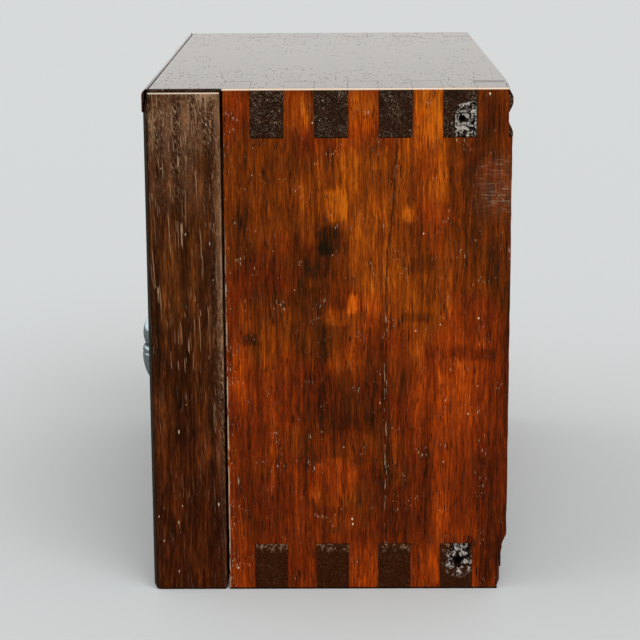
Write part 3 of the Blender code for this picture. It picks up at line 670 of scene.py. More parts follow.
def orange_wood(wood, colours):
    """Streaked orange wood under brown varnish that is worn thin in patches, with pores and dust."""
    wood.wander(1.0 * MM, 45.0)
    fine = wood.noise(1900.0, 4.0, 0.75, along=0.06)
    bands = wood.noise(420.0, 3.0, 0.6, along=0.035)
    cloud = wood.noise(85.0, 6.0, 0.65, 0.5, along=0.4)
    worn = wood.shade("tone") + 0.5
    value = wood.total(0.515, (fine, 1.50), (bands, 0.80), (cloud, 0.65), (worn, 0.25))
    colour = wood.ramp(value, orange_stops(colours))
    tan = wood.ramp(value, orange_stops(colours), (0.96, 1.38, 1.2))
    faded = wood.noise(38.0, 3.0) + wood.between("z", 50, 140, 0.0, 0.22)
    colour = wood.mix(faded.step(0.50, 0.74), colour, tan)
    cluster = wood.noise(130.0)
    dashes = wood.noise(2300.0, 1.0, along=0.08)
    pore = dashes.step(0.59, 0.67) * cluster.step(0.36, 0.58)
    colour = wood.mix(pore * 0.85, colour, colours.stain_and_shade)
    # Dust in the pores, and rubbed places along the seam, at the front arris and in the back corner
    wood.wander(0.12 * MM, 2600.0)
    dust = wood.specks(300.0, 0.14, 0.38, along=0.7)
    chalk = wood.noise(2700.0, 0.0, along=0.22, shift=(0.1, 0.3, 0.2))
    seam = wood.between("y", 7, 2, origin=SIDE_FRONT)
    flecks = chalk.step(0.72, 0.80) * (cluster + seam * 0.12).step(0.56, 0.66)
    lip = (wood.between("y", 0.7, 0.3, origin=SIDE_FRONT) * wood.on_end(1.0 * MM)
           * wood.between("z", 150, 110) * dashes.step(0.40, 0.56, 0.0, 0.5))
    rubbed = wood.noise(1700.0, 2.5, along=0.14, axis="Y")
    corner = (wood.between("y", -17, -6, origin=BACK) * wood.between("z", 138, 150)
              * wood.between("z", 168, 158))
    scuffs = (rubbed.step(0.50, 0.72, 0.02, 0.20) * corner * cluster.step(0.35, 0.6, 0.3, 1.0)
              * wood.on_end(1.0 * MM))
    # A leaning crack in the upper half of the right-hand end, with crumbs in it
    lean = wood.between("z", 112, 174, 20.9 * MM, 25.0 * MM)
    away = abs(wood.y - (lean + wood.total(0.0, (wood.noise(240.0, 3.0), 2.0 * MM))))
    there = wood.x.step(0.0, 0.1) * wood.between("z", 176, 170)
    crack = away.step(0.5 * MM, 0.15 * MM) * there * bands.step(0.40, 0.55, 0.2, 1.0)
    colour = wood.mix(crack * 0.8, colour, colours.stain_and_shade)
    crumbs = away.step(0.6 * MM, 0.2 * MM) * there * dashes.step(0.58, 0.66)
    crumbs = crumbs * wood.between("z", 125, 105, 0.1, 0.4)
    colour = wood.mix(dust * 0.95 | flecks * 0.45 | lip | scuffs | crumbs, colour, colours.dust)
    # Dark finger heads, the opened joint inside the last one, the crumbled foot corner, the painted highlight
    # along the top arris, and painted shade along the foot
    head = wood.between("z", -0.5, -0.25, origin=HEIGHT)
    colour = wood.mix(head, colour, colours.dark_light)
    opened = (wood.between("x", -15, -17, origin=END) * wood.x.step(0.0, 0.01)
              * wood.between("y", 53.0, 53.8) * head)
    crumbly = (abs(wood.y - (PLUG_MIDDLE + 2.9 * MM)).step(2.1 * MM, 1.4 * MM)
               * wood.between("z", 3.8, 2.6, origin=FLOOR) * wood.x.step(0.0, 0.1) * chalk.step(0.62, 0.45))
    colour = wood.mix(opened | crumbly, colour, colours.dark)
    colour = wood.mix(wood.arris_highlight(HEIGHT), colour, colours.arris)
    colour = wood.mix(wood.between("z", 1.0, 0.4), colour, colours.stain_and_shade)
    return wood.done(Base_Color=colour, Roughness=head.step(0.0, 1.0, 0.42, 0.16),
                     Specular_IOR_Level=(head - opened).step(0.0, 1.0, 0.05, 0.5),
                     Specular_Tint=(1.0, 0.945, 0.90), Normal=wood.bump(fine * 0.5 - pore, 0.05 * MM, 0.5))


def carved_wood(wood, colours):
    """The orange wood of the panels, even in tone, polished where it is high, with a painted highlight on the
    high parts, and grime and painted shade in the ground.
    """
    wood.wander(1.0 * MM, 45.0)
    fine = wood.noise(1500.0, 3.0, 0.6, along=0.06)
    bands = wood.noise(300.0, 3.0, 0.6, along=0.05)
    cloud = wood.noise(45.0, 4.0, 0.6)
    carved = wood.shade("carved")
    # The carved height lightens the high parts as a painted highlight
    value = wood.total(0.52, (fine, 0.45), (bands, 0.40), (cloud, 0.35), (carved, 0.34))
    pore = wood.noise(2500.0, 1.0, along=0.14).step(0.62, 0.72)
    # Grime and painted shade darken the ground of the carving
    grime_and_shade = carved.step(0.30, 0.02) * cloud.step(0.3, 0.6, 0.5, 0.8)
    colour = wood.mix(pore * 0.5 | grime_and_shade, wood.ramp(value, orange_stops(colours)), colours.stain_and_shade)
    return wood.done(Base_Color=colour, Roughness=carved.step(0.1, 0.9, 0.55, 0.30), Specular_IOR_Level=0.22,
                     Normal=wood.bump(fine - pore, 0.04 * MM, 0.4))


def dark_wood(wood, colours):
    """Near-black lengthwise wood; on its end grain the pores show as dots, many filled with dust."""
    fine = wood.noise(1100.0, 3.0, 0.6, along=0.03)
    bands = wood.noise(170.0, along=0.06)
    colour = wood.mix((fine + bands).step(0.8, 1.3), colours.dark, colours.dark_light)
    outward = abs(wood.x).step(20 * MM, 110 * MM, -0.12, 0.17)
    pits = wood.specks(950.0, 0.38, 0.55, along=0.35) * (wood.noise(70.0) + outward).step(0.38, 0.54)
    # End grain: dusty pores above, browner below
    end = wood.on_end(0.5 * MM)
    upper = wood.between("z", 60, 130)
    below = upper.step(1.0, 0.0)
    many = wood.noise(190.0, 3.0).step(0.40, 0.60, 0.25, 1.0) * upper.step(0.0, 1.0, 0.12, 1.0)
    grain = wood.noise(1900.0, 3.0, 0.7)
    haze = grain.step(0.50, 0.66) * many * end * 0.16
    dots = wood.specks(1150.0, 0.33, 0.20) * many * end * 0.55
    colour = wood.mix(grain.step(0.52, 0.40) * end * 0.7, colour, colours.stain_and_shade)
    brown = wood.mix(grain.step(0.36, 0.62), tinted(colours.post, 0.36, 0.32, 0.32),
                     tinted(colours.post_light, 0.50, 0.44, 0.4))
    colour = wood.mix(below * end * 0.85, colour, brown)
    lumps = wood.noise(620.0, 3.0, 0.65, 0.6)
    crumbs = wood.between("z", -4, -1.5, origin=FLOOR) * below * lumps.step(0.50, 0.60) * end * 0.4
    colour = wood.mix(crumbs, colour, tinted(colours.dust, 0.50, 0.36, 0.30))
    colour = wood.mix(haze | dots, colour, colours.dust)
    # Filler that has spread round the plugs
    along = wood.y - PLUG_MIDDLE
    away = wood.math("SQRT", (along + 0.7 * MM) ** 2.0 + (wood.z - (FLOOR - 7.5 * MM)) ** 2.0)
    beside = away.step(6.5 * MM, 4.0 * MM) * lumps.step(0.48, 0.60) * 0.85
    slanted = (wood.z - along * 0.25).step(UNDER_TOP + 12.7 * MM, UNDER_TOP + 12.2 * MM)
    above = abs(along - 0.6 * MM).step(3.8 * MM, 3.5 * MM) * slanted * upper
    colour = wood.mix(above * end, colour, tinted(colours.dark, 0.5))
    colour = wood.mix((beside | above * lumps.step(0.46, 0.60)) * end, colour, colours.filler)
    # Painted shade: the worm hole is painted dark on the pin's end face round the plug's hole
    colour = wood.mix(away.step(2.0 * MM, 1.8 * MM) * end, colour, tinted(colours.dark, 0.2))
    # Painted highlight along the top board's arris at the ends, behind the posts; then painted shade along
    # the foot
    behind = wood.between("y", -0.5, 0, origin=SIDE_FRONT)
    colour = wood.mix(wood.arris_highlight(HEIGHT) * behind, colour, colours.arris)
    colour = wood.mix(wood.between("z", 1.0, 0.4), colour, colours.stain_and_shade)
    return wood.done(Base_Color=colour, Roughness=pits * 0.5 + end.step(0.0, 1.0, 0.16, 0.55),
                     Specular_IOR_Level=end.step(0.0, 1.0, 0.5, 0.04), Specular_Tint=(1.0, 0.955, 0.91),
                     Normal=wood.bump(fine * 0.3 - pits, 0.05 * MM, 0.4))


def post_wood(wood, colours, scratched):
    """Dark brown wood with red-brown grain, dark pores and long pale scratches along it."""
    wood.wander(0.8 * MM, 50.0)
    fine = wood.noise(1700.0, 4.0, 0.7, along=0.08)
    bands = wood.noise(360.0, 3.0, 0.6, along=0.05)
    cloud = wood.noise(70.0, 5.0, 0.6, 0.4, along=0.4)
    value = wood.total(0.46, (fine, 1.9), (bands, 1.5), (cloud, 1.3))
    stops = ((0.0, tinted(colours.post, 0.3)), (0.45, colours.post), (0.75, colours.post_light),
             (1.0, tinted(colours.post_light, 1.9)))
    red = wood.ramp(value, stops, (0.90, 0.66, 0.50))
    colour = wood.mix(wood.between("z", 110, 30), wood.ramp(value, stops), red)
    lines = wood.noise(3000.0, 0.0, along=0.005, shift=(0.3, 0.7, 0.1), turn=(0.04, 0.04, 0.0))
    slanted = wood.noise(2500.0, 3.0, along=0.16, shift=(0.1, 0.2, 0.3), turn=(0.2, 0.2, 0.0))
    hazed = wood.shade("haze")
    cluster = wood.noise(110.0, along=0.3)
    many = wood.between("z", 45, 105, 0.25, 1.0)
    long = lines.step(0.70, 0.76) * cluster.step(0.36, 0.54) * many * scratched
    short = slanted.step(0.48, 0.66) * hazed
    veil = hazed * bands.step(0.35, 0.65, 0.0, 0.35)
    crust = hazed.step(0.6, 0.95) * fine.step(0.40, 0.58) * 0.8
    colour = wood.mix((long | crust) | (short | veil), colour, colours.scratch)
    wood.wander(0.12 * MM, 2600.0)
    colour = wood.mix(wood.specks(400.0, 0.12, 0.12, along=0.3) * 0.7, colour, colours.dust)
    # Painted highlight along the arris round the top of the posts' ends
    colour = wood.mix(wood.arris_highlight(POST_HIGH[2]), colour, colours.arris)
    # Painted shade over the posts' front face and rounded front arris, and painted shade along the foot; then
    # a painted grey reflection on the ends along that arris
    corner = wood.between("y", 2.1, 1.4, 0.0, 0.8, FRONT)
    colour = wood.mix(corner | wood.between("z", 1.0, 0.4), colour, colours.stain_and_shade)
    rubbed = wood.between("y", 1.2, 0.7, origin=FRONT) * wood.on_end(2.0 * MM) * 0.8
    colour = wood.mix(rubbed, colour, colours.edge_reflection)
    return wood.done(Base_Color=colour, Roughness=cloud.step(0.3, 0.7, 0.42, 0.55), Specular_IOR_Level=0.04,
                     Normal=wood.bump(fine - long, 0.05 * MM, 0.5))


def inner_wood(wood, colours):
    """Plain planed wood without varnish, stained here and there."""
    wood.wander(1.5 * MM, 25.0)
    fine = wood.noise(1600.0, 4.0, 0.7, along=0.05)
    bands = wood.noise(320.0, 3.0, 0.6, 0.3, along=0.04)
    value = wood.total(0.5, (fine, 1.3), (bands, 0.9))
    colour = wood.mix(value.step(0.1, 0.9), colours.varnish, colours.inner)
    colour = wood.mix(wood.noise(25.0, 4.0).step(0.5, 0.75, 0.0, 0.5), colour, colours.stain_and_shade)
    return wood.done(Base_Color=colour, Roughness=fine.step(0.3, 0.7, 0.5, 0.7), Specular_IOR_Level=0.15,
                     Normal=wood.bump(fine, 0.06 * MM, 0.6))


def crumbled_filler(filler, colours):
    """Pale filler that has crumbled, mottled dark, with painted shade in its worm hole."""
    lumps = filler.noise(620.0, 3.0, 0.65, 0.6)
    colour = filler.mix(lumps.step(0.46, 0.60), tinted(colours.dark, 0.5), colours.filler)
    # Painted shade in the worm hole
    colour = filler.mix(filler.shade("painted_shade"), colour, tinted(colours.dark, 0.2))
    return filler.done(Base_Color=colour, Roughness=lumps.step(0.4, 0.6, 0.7, 0.9), Specular_IOR_Level=0.1,
                       Normal=filler.bump(lumps, 0.3 * MM, 0.8))


def white_metal(metal, colours):
    """Polished white metal with light handling marks, a little tarnish, and rough with painted shade in its
    hollows.
    """
    tarnish = metal.noise(220.0, 4.0, 0.6).step(0.5, 0.72, 0.0, 0.6)
    colour = metal.mix(tarnish, colours.metal, tinted(colours.metal, 0.42, 0.36, 0.29))
    # Painted shade: the stored mask darkens the metal in the drop's waist and at its foot, and roughens it
    # there
    painted_shade = metal.shade("painted_shade")
    colour = metal.mix(painted_shade * 0.9, colour, tinted(colours.metal, 0.04))
    return metal.done(Base_Color=colour, Metallic=1.0, Roughness=tarnish.step(0.0, 0.6, 0.16, 0.36) | painted_shade,
                      Normal=metal.bump(metal.noise(1600.0), 0.02 * MM, 0.3))


# Maker of each finish, the axis of its grain and what else the maker takes
FINISHES = {
    "orange_end": (orange_wood, "Z"),
    "orange_carved": (carved_wood, "Z"),
    "dark_lengthwise": (dark_wood, "X"),
    "post_upright": (post_wood, "Z", 0.75),
    "stile_upright": (post_wood, "Z", 0.25),
    "rail_crosswise": (post_wood, "X", 0.25),
    "inner_lengthwise": (inner_wood, "X"),
    "inner_crosswise": (inner_wood, "Y"),
    "crumbled_filler": (crumbled_filler, "Z"),
    "polished_metal": (white_metal, "Z"),
}


def finish(name):
    """The named finish, made the first time that a piece asks for it."""
    made = bpy.data.materials.get(name)
    if made is None:
        maker, grain, *options = FINISHES[name]
        made = maker(Finish(name, grain), bpy.context.scene.box_colours, *options)
    return made


# Case

def stepped_end(front, back, notches, full, inner):
    """Points along an end from front to back: out at full, and in at each notch."""
    points, place = [], front
    for start, stop in notches:
        start, stop = max(start, front), min(stop, back)
        if start >= stop:
            continue
        if start > place:
            points += [(full, place), (full, start)]
        points += [(inner, start), (inner, stop)]
        place = stop
    if place < back:
        points += [(full, place), (full, back)]
    return points


def board_outline(front, back, right, left=None):
    """Outline of the top or bottom board, with a list of notches for its ends, or one for each end."""
    ends = [stepped_end(front, back, notches, END, INNER - JOINT) for notches in (right, left or right)]
    return ends[0] + [(-x, y) for x, y in reversed(ends[1])]


def side_board_outline(front, back):
    """Outline of a side board in Y and Z between two places, with its fingers at the head and the foot."""
    gaps = [(a[1], b[0]) for a, b in zip(FINGERS, FINGERS[1:])] + [(FINGERS[-1][1], BACK)]
    foot = stepped_end(front, back, gaps, 0.0, FLOOR + JOINT)
    head = stepped_end(front, back, gaps, HEIGHT, UNDER_TOP - JOINT)
    return [(y, z) for z, y in foot] + [(y, z) for z, y in reversed(head)]


def pin_holes(level, face):
    """Depth of the blind holes for that level's pivot pins in a face, as a function of X and Y, and the
    grid lines that follow their rims."""
    low, high = box(f"right_{level}_pivot_pin")
    centre = (low + high) / 2
    radius = (high[0] - low[0]) / 2 + 2 * GAP
    depth = (high[2] - face if level == "upper" else face - low[2]) + GAP
    rim = radius * np.linspace(-1.1, 1.1, 13)

    def depth_at(x, y):
        return depth * (np.hypot(np.abs(x) - centre[0], y - centre[1]) < radius)

    return depth_at, (np.concatenate([rim - centre[0], rim + centre[0]]), rim + centre[1])


class BOX_OT_top_board(bpy.types.Operator):
    """Builds the top board: skin, core with post pockets, grooved underside and front nose."""

    bl_idname = "box.top_board"
    bl_label = "Top board"

    # Height of a dent in the right-hand back corner, and its reach and push in mm
    dents = ((UNDER_TOP + 7.2 * MM, (27, 3.2, 5.6), (-0.4, -1.9, 0)), (HEIGHT, (24, 3.2, 3.6), (0, -1.5, 0)))
    # Steps of the rounding at the nose's ends, as shares of its size
    end_round = 0.35
    end_steps = np.array([0.0, 0.1, 0.3, 0.6, 1.0])

    def execute(self, context):
        edges = context.scene.box_edges
        nose_face, radius = TOP_LOW[1], edges.nose_round
        inside = nose_face + edges.nose_thick
        curve = nose_face + radius
        roof = BACK_HIGH[2] + GAP

        def nose_curve(u, v):
            run = np.clip(curve - v, 0, radius)
            return radius - np.sqrt(radius ** 2 - run ** 2)

        holes, rims = pin_holes("upper", UNDER_TOP)
        skin = layer(board_outline(inside, BACK, SOCKETS), LAP_UNDER, HEIGHT, edges.joint, 1,
                     ease=(0.0, edges.board), relief=(None, nose_curve))
        core = layer(board_outline(inside, BACK, POST_SOCKETS), roof, LAP_UNDER, edges.joint, 6)
        before = layer(board_outline(FRONT, GROOVE_FRONT, POST_SOCKETS), UNDER_TOP, roof, edges.joint,
                       ease=(edges.door, 0.0), relief=(holes, None), marks=rims)
        behind = layer(board_outline(GROOVE_BACK, BACK, SOCKETS), UNDER_TOP, roof, edges.joint,
                       ease=(edges.door, 0.0))
        foot = HEIGHT - edges.nose
        reach = INNER - GAP
        strip = slab(rectangle((-reach, FRONT), (reach, inside + GAP)), roof - GAP, foot + 2 * GAP, "XYZ",
                     spacing=(20 * MM, 5 * MM))
        out = FRONT - nose_face
        profile = [(inside, foot)] + arc_points((FRONT, foot + out), out, 270, 180)
        bend = arc_points((curve, HEIGHT - radius), radius, 180, 90, 12)
        profile += [point for point in bend if point[0] < inside] + [(inside, HEIGHT - nose_curve(0, inside))]
        rise = radius * self.end_round * self.end_steps
        places = np.concatenate([-END + rise, END - rise[::-1]])
        nose = carried(profile, places, np.concatenate([rise[::-1], rise]), "X")
        points, faces, _ = join(skin, core, before, behind, strip, nose)
        for height, wide, push in self.dents:
            points = dent(points, (END, BACK, height), wide, push)
        make_piece("top_board", (points, faces), "dark_lengthwise")
        return {"FINISHED"}


class BOX_OT_bottom_board(bpy.types.Operator):
    """Builds the bottom board; at the right-hand end its last thin pin has broken away."""

    bl_idname = "box.bottom_board"
    bl_label = "Bottom board"

    def execute(self, context):
        edges = context.scene.box_edges
        bed = BACK_LOW[2] - GAP
        broken = POST_SOCKETS[:-1] + [(POST_SOCKETS[-1][0], BACK)]
        holes, rims = pin_holes("lower", FLOOR)
        foot = layer(board_outline(FRONT, BACK, broken, POST_SOCKETS), 0.0, bed, edges.joint,
                     ease=(edges.foot, 0.0))
        before = layer(board_outline(FRONT, GROOVE_FRONT, POST_SOCKETS), bed, FLOOR, edges.joint,
                       ease=(0.0, edges.door), relief=(None, holes), marks=rims)
        behind = layer(board_outline(GROOVE_BACK, BACK, broken, POST_SOCKETS), bed, FLOOR, edges.joint,
                       ease=(0.0, edges.door))
        make_piece("bottom_board", join(foot, before, behind), "dark_lengthwise")
        return {"FINISHED"}


def tone_of(points, spots, soft):
    """Sum of patches: strength * smooth_step(1/2 + (1 - r) m / (1 + soft m)), in mm, where
    r^3 = |y/ry|^3 + |z/rz|^3 about a patch's middle, m is its lesser reach, and noise shifts y and z."""
    tone = np.zeros(len(points))
    y = points[:, 1] / MM + 0.5 * soft_noise(points, 4 * MM, seed=41)
    y = y + 0.4 * soft_noise(points, 1.6 * MM, seed=43)
    z = points[:, 2] / MM + 0.9 * soft_noise(points, 6 * MM, seed=42)
    for middle_y, middle_z, reach_y, reach_z, strength in spots:
        away = (np.abs((y - middle_y) / reach_y) ** 3 + np.abs((z - middle_z) / reach_z) ** 3) ** (1 / 3)
        least = min(reach_y, reach_z)
        tone += strength * smooth_step(0.5 + (1.0 - away) * least / (1.0 + soft * least))
    return tone


class BOX_OT_side_boards(bpy.types.Operator):
    """Builds the two orange end boards with their fingers, grooves, worn back edge and patchy tone."""

    bl_idname = "box.side_boards"
    bl_label = "Side boards"

    # Worn (+) and stained (-) places with soft edges: middle and reach in Y and Z, in mm, and strength
    soft_places = ((7.9, 161, 4, 8, 0.6), (-9.5, 151, 2, 8, 0.6), (35.7, 157, 9, 16, 0.7),
                   (16, 130, 8, 29, 0.55), (-32.9, 84, 3, 12, 0.6), (15.8, 112, 3.4, 9, 0.6),
                   (43, 102, 5, 9, 0.5), (32.5, 76, 3.6, 14, 0.7), (44.7, 78, 6.5, 18, 0.7),
                   (55, 80, 7, 20, 0.45), (46.5, 38, 8, 24, 0.35), (47, 25, 7, 9, 0.6), (4, 25, 5, 6, 0.5),
                   (36.2, 19.4, 4.4, 18.5, 0.3), (-10.4, 181.5, 5, 8, 0.7), (12.6, 181.5, 5, 9, 0.9),
                   (35.5, 181.5, 5, 10, 1.5), (12.9, 9, 5, 9, 0.6), (35.9, 9, 5, 9, 0.6),
                   (-14, 122, 24, 12, -0.5), (58, 152, 9, 26, -0.8), (-6, 88, 6, 34, -0.4),
                   (-32, 136, 7, 12, -0.7), (-9, 166, 5, 8, -0.6), (3.3, 72.7, 11.1, 11, -0.75),
                   (17.7, 82, 4, 20, -0.6), (24, 50, 6, 42, -0.4), (-7.6, 49.5, 3.4, 9.7, -0.6),
                   (-18.2, 33.8, 3, 11, -0.5), (20, 30, 50, 22, -0.45), (59.2, 181.5, 5, 9, -0.6),
                   (60, 9, 5, 10, -0.6), (66.5, 56, 8, 70, -0.8))
    # The same with crisp edges
    crisp_places = ((2.8, 147.6, 4.4, 6.2, 1.3), (29.2, 143.5, 2.4, 2.6, 1.4), (8.5, 110.8, 2.4, 3.8, 1.5),
                    (3, 105.5, 5, 3.4, 0.9), (5.2, 89.6, 3, 4.9, 0.4), (1.4, 42.2, 9.4, 10.0, 0.9),
                    (0.4, 134.5, 4.8, 5.4, -1.2), (-4.5, 127, 5.5, 6.5, -0.8), (34.1, 125.3, 4.4, 3, -0.7),
                    (-0.7, 96.4, 2.4, 6.1, -0.8), (-29.1, 97.3, 2.8, 2.2, -1.2), (33.4, 106, 5.1, 2.2, -0.8),
                    (53, 92, 8.4, 2.4, -0.8))
    # Height of a dent in the back edge, and its reach and push in mm
    dents = ((4 * MM, (14, 4, 17), (0, -3.4, 0)), (FLOOR, (12, 2, 4), (0, -1.2, 0)))
    # Half the width and the depth of the slot for a post's tongue
    slot_half = 3.3 * MM
    slot_depth = 5.3 * MM
    # On the left-hand board, Y of a place is this less its Y on the right-hand one
    turned_about = 14 * MM

    def execute(self, context):
        edges = context.scene.box_edges
        middle = INNER + (POST_HIGH[0] - POST_LOW[0]) / 2
        near, far = middle - self.slot_half, middle + self.slot_half
        notch = SIDE_FRONT + self.slot_depth
        groove = BACK_HIGH[0] + GAP
        whole = side_board_outline(SIDE_FRONT, BACK)
        slotted = whole + [(SIDE_FRONT, TONGUE_HEAD + GAP), (notch, TONGUE_HEAD + GAP),
                           (notch, TONGUE_FOOT - GAP), (SIDE_FRONT, TONGUE_FOOT - GAP)]
        for side, word in SIDES.items():
            shells = [upright(whole, far, END, side, (0.0, edges.board), tight=edges.joint, rows=4,
                              spacing=(1 * MM, 1.5 * MM), sides=(0.4, 1.0, edges.foot / edges.board, 1.0)),
                      upright(slotted, near, far, side, spacing=(3 * MM, 3 * MM)),
                      upright(whole, groove, near, side, spacing=(4 * MM, 4 * MM), rows=1)]
            for front, back in ((SIDE_FRONT, GROOVE_FRONT), (GROOVE_BACK, BACK)):
                shells.append(upright(side_board_outline(front, back), INNER, groove, side, (edges.door, 0.0),
                                      tight=edges.joint, spacing=(5 * MM, 5 * MM)))
            points, faces, edge = join(*shells)
            for height, reach, push in self.dents:
                points = dent(points, (side * END, BACK, height), reach, push)
            worn = soft_noise(points, 7 * MM, seed=3) * edge * 0.25 * MM
            points[:, 1] -= np.where(points[:, 1] > BACK - 2 * MM, np.abs(worn), 0)
            seen = points if side > 0 else points * (1, -1, 1) + (0, self.turned_about, 0)
            tone = tone_of(seen, self.soft_places, soft=0.9) + tone_of(seen, self.crisp_places, soft=0.15)
            make_piece(f"{word}_side_board", (points, faces), "orange_end", {"tone": tone})
        return {"FINISHED"}


class BOX_OT_front_posts(bpy.types.Operator):
    """Builds the dark front posts with eased edges, a worn haze towards the head and a pale inner edge."""

    bl_idname = "box.front_posts"
    bl_label = "Front posts"

    tongue_half = 3 * MM

    def execute(self, context):
        edges = context.scene.box_edges
        behind = SIDE_FRONT - 1.0 * MM
        middle = (INNER + END) / 2
        body = rectangle((FRONT, 0.0), (behind, POST_HIGH[2]))
        inset = rectangle((behind - MM, TONGUE_FOOT), (POST_HIGH[1], TONGUE_HEAD))
        for side, word in SIDES.items():
            post = upright(body, INNER, END, side, (edges.post, edges.post), rows=6,
                           spacing=(1.5 * MM, 2.5 * MM),
                           corners=(edges.post_foot, 0.8 * MM, 0.6 * MM, 0.9 * MM),
                           sides=(1.0, 0.8, edges.foot / edges.post, 0.8))
            tongue = upright(inset, middle - self.tongue_half, middle + self.tongue_half, side,
                             spacing=(10 * MM, 20 * MM))
            points, faces, edge = join(post, tongue)
            ragged = soft_noise(points, 5 * MM, seed=11) * edge * 0.15 * MM
            points[:, 1] += np.where(points[:, 1] > behind - 2 * MM, -np.abs(ragged), 0)
            height = points[:, 2] / HEIGHT
            cloud = 0.5 + 0.5 * soft_noise(points, 9 * MM, seed=5)
            haze = smooth_step((height - 0.72) / 0.3) * cloud
            rim = np.exp(-np.abs(points[:, 1] - behind) / (1.2 * MM)) * np.exp(-((height - 0.60) / 0.26) ** 2)
            make_piece(f"{word}_front_post", (points, faces), "post_upright",
                       {"haze": np.clip(haze + 1.3 * rim + 0.2 * edge, 0, 1)})
        return {"FINISHED"}


class BOX_OT_inside(bpy.types.Operator):
    """Builds the back panel, the shelf on its cleats and the door stops: square boards with eased edges."""

    bl_idname = "box.inside"
    bl_label = "Back, shelf and stops"

    # Axes of each board's outline and thickness, and its finish
    boards = {
        "back_panel": ("ZXY", "inner_lengthwise"),
        "shelf": ("XYZ", "inner_lengthwise"),
        "right_shelf_cleat": ("YZX", "inner_crosswise"),
        "left_shelf_cleat": ("YZX", "inner_crosswise"),
        "upper_door_stop": ("XYZ", "inner_lengthwise"),
        "lower_door_stop": ("XYZ", "inner_lengthwise"),
    }

    def execute(self, context):
        ease = context.scene.box_edges.door
        for node, (axes, look) in self.boards.items():
            make_piece(node, filled(node, axes, ease=(ease, ease)), look)
        return {"FINISHED"}


class BOX_OT_groove_plugs(bpy.types.Operator):
    """Builds the crumbling filler in the ends of the back panel's grooves, each with a worm hole."""

    bl_idname = "box.groove_plugs"
    bl_label = "Groove plugs"

    # Place of the hole from the plug's middle in Y and Z, as shares of its size, and its radius
    holes = {"upper": (-0.12, 0.26, 1.3 * MM), "lower": (-0.10, -0.33, 2.0 * MM)}

    def crumble(self, hole, wide, seed):
        """Depth of the filler's surface: lumps of noise in two sizes, and a pit at the hole."""

        def relief(u, v):
            flat = np.stack([u.ravel(), v.ravel(), np.zeros(u.size)], axis=1)
            lumps = soft_noise(flat, 1.3 * MM, 20 + seed) + 0.6 * soft_noise(flat, 0.6 * MM, 30 + seed)
            pit = smooth_step((wide - np.hypot(u - hole[0], v - hole[1])) / (0.4 * MM))
            return 0.45 * MM * np.abs(lumps.reshape(u.shape)) + 4.5 * MM * pit

        return relief

    def execute(self, context):
        for side, word in SIDES.items():
            for seed, (level, (along, up, wide)) in enumerate(self.holes.items()):
                node = f"{word}_{level}_groove_plug"
                low, high = box(node)
                middle, size = (low + high) / 2, high - low
                hole = (middle[1] + along * size[1], middle[2] + up * size[2])
                shell = filled(node, "YZX", spacing=(0.25 * MM, 0.25 * MM),
                               relief=(None, self.crumble(hole, wide, seed))[::side])
                away = np.hypot(shell[0][:, 1] - hole[0], shell[0][:, 2] - hole[1])
                # Painted shade: the worm hole's pit is stored to be painted dark
                painted_shade = smooth_step((wide - away) / (0.3 * MM))
                make_piece(node, shell, "crumbled_filler", {"painted_shade": painted_shade})
        return {"FINISHED"}


# Doors

def opening_of(word):
    """Low and high of a door's panel opening in X and Z."""
    stiles = sorted((box(f"{word}_hinge_stile"), box(f"{word}_lock_stile")), key=lambda pair: pair[0][0])
    low = (stiles[0][1][0], box(f"{word}_door_bottom_rail")[1][2])
    high = (stiles[1][0][0], box(f"{word}_door_top_rail")[0][2])
    return np.array(low), np.array(high)


class BOX_OT_door_frames(bpy.types.Operator):
    """Builds the stiles and rails, with a scratched bead round each panel opening."""

    bl_idname = "box.door_frames"
    bl_label = "Door frames"

    bead_at = 3.0 * MM
    bead_half = 0.8 * MM
    bead_depth = 0.55 * MM

    def bead(self, low, high):
        """Groove of depth (1 + cos) / 2 about one distance from the opening, mitred at its corners."""
        middle, half = (low + high) / 2, (high - low) / 2

        def relief(z, x):
            away = np.maximum(np.abs(x - middle[0]) - half[0], np.abs(z - middle[1]) - half[1])
            near = np.clip((away - self.bead_at) / self.bead_half, -1, 1)
            return self.bead_depth * (1 + np.cos(np.pi * near)) / 2

        return relief

    def pivot_corner(self, bead, side, pivot, front):
        """The bead, and the outer front corner cut back to a circle about the pivot."""
        reach = DOOR_OUTER - abs(pivot[0])

        def relief(z, x):
            out = np.clip(side * (x - pivot[0]), 0, reach)
            circle = pivot[1] - np.sqrt(np.maximum(reach ** 2 - out ** 2, 0))
            return np.maximum(bead(z, x), circle - front)

        return relief

    def execute(self, context):
        ease = context.scene.box_edges.door
        steps = np.linspace(-1, 1, 7) * self.bead_half
        for side, word in SIDES.items():
            low, high = opening_of(word)
            bead = self.bead(low, high)
            lines_x, lines_z = (np.concatenate([a - self.bead_at + steps, b + self.bead_at + steps])
                                for a, b in zip(low, high))
            for part in ("hinge_stile", "lock_stile", "door_bottom_rail", "door_top_rail"):
                node = f"{word}_{part}"
                start, stop = box(node)
                x0, x1, look, front = start[0], stop[0], "stile_upright", bead
                if part.endswith("rail"):
                    x0, x1, look = low[0] + GAP, high[0] - GAP, "rail_crosswise"
                if part == "hinge_stile":
                    pivot = sum(box(f"{word}_upper_pivot_pin")) / 2
                    front = self.pivot_corner(bead, side, pivot, start[1])
                marks = (lines_z[(lines_z > start[2]) & (lines_z < stop[2])],
                         lines_x[(lines_x > x0) & (lines_x < x1)])
                shell = slab(rectangle((start[2], x0), (stop[2], x1)), start[1], stop[1], "ZXY", (ease, ease),
                             spacing=(4 * MM, 2 * MM), relief=(front, None), marks=marks, rows=3)
                cloud = 0.5 + 0.5 * soft_noise(shell[0], 8 * MM, seed=7)
                make_piece(node, shell, look, {"haze": np.clip(0.35 * shell[2] * cloud, 0, 1)})
        return {"FINISHED"}


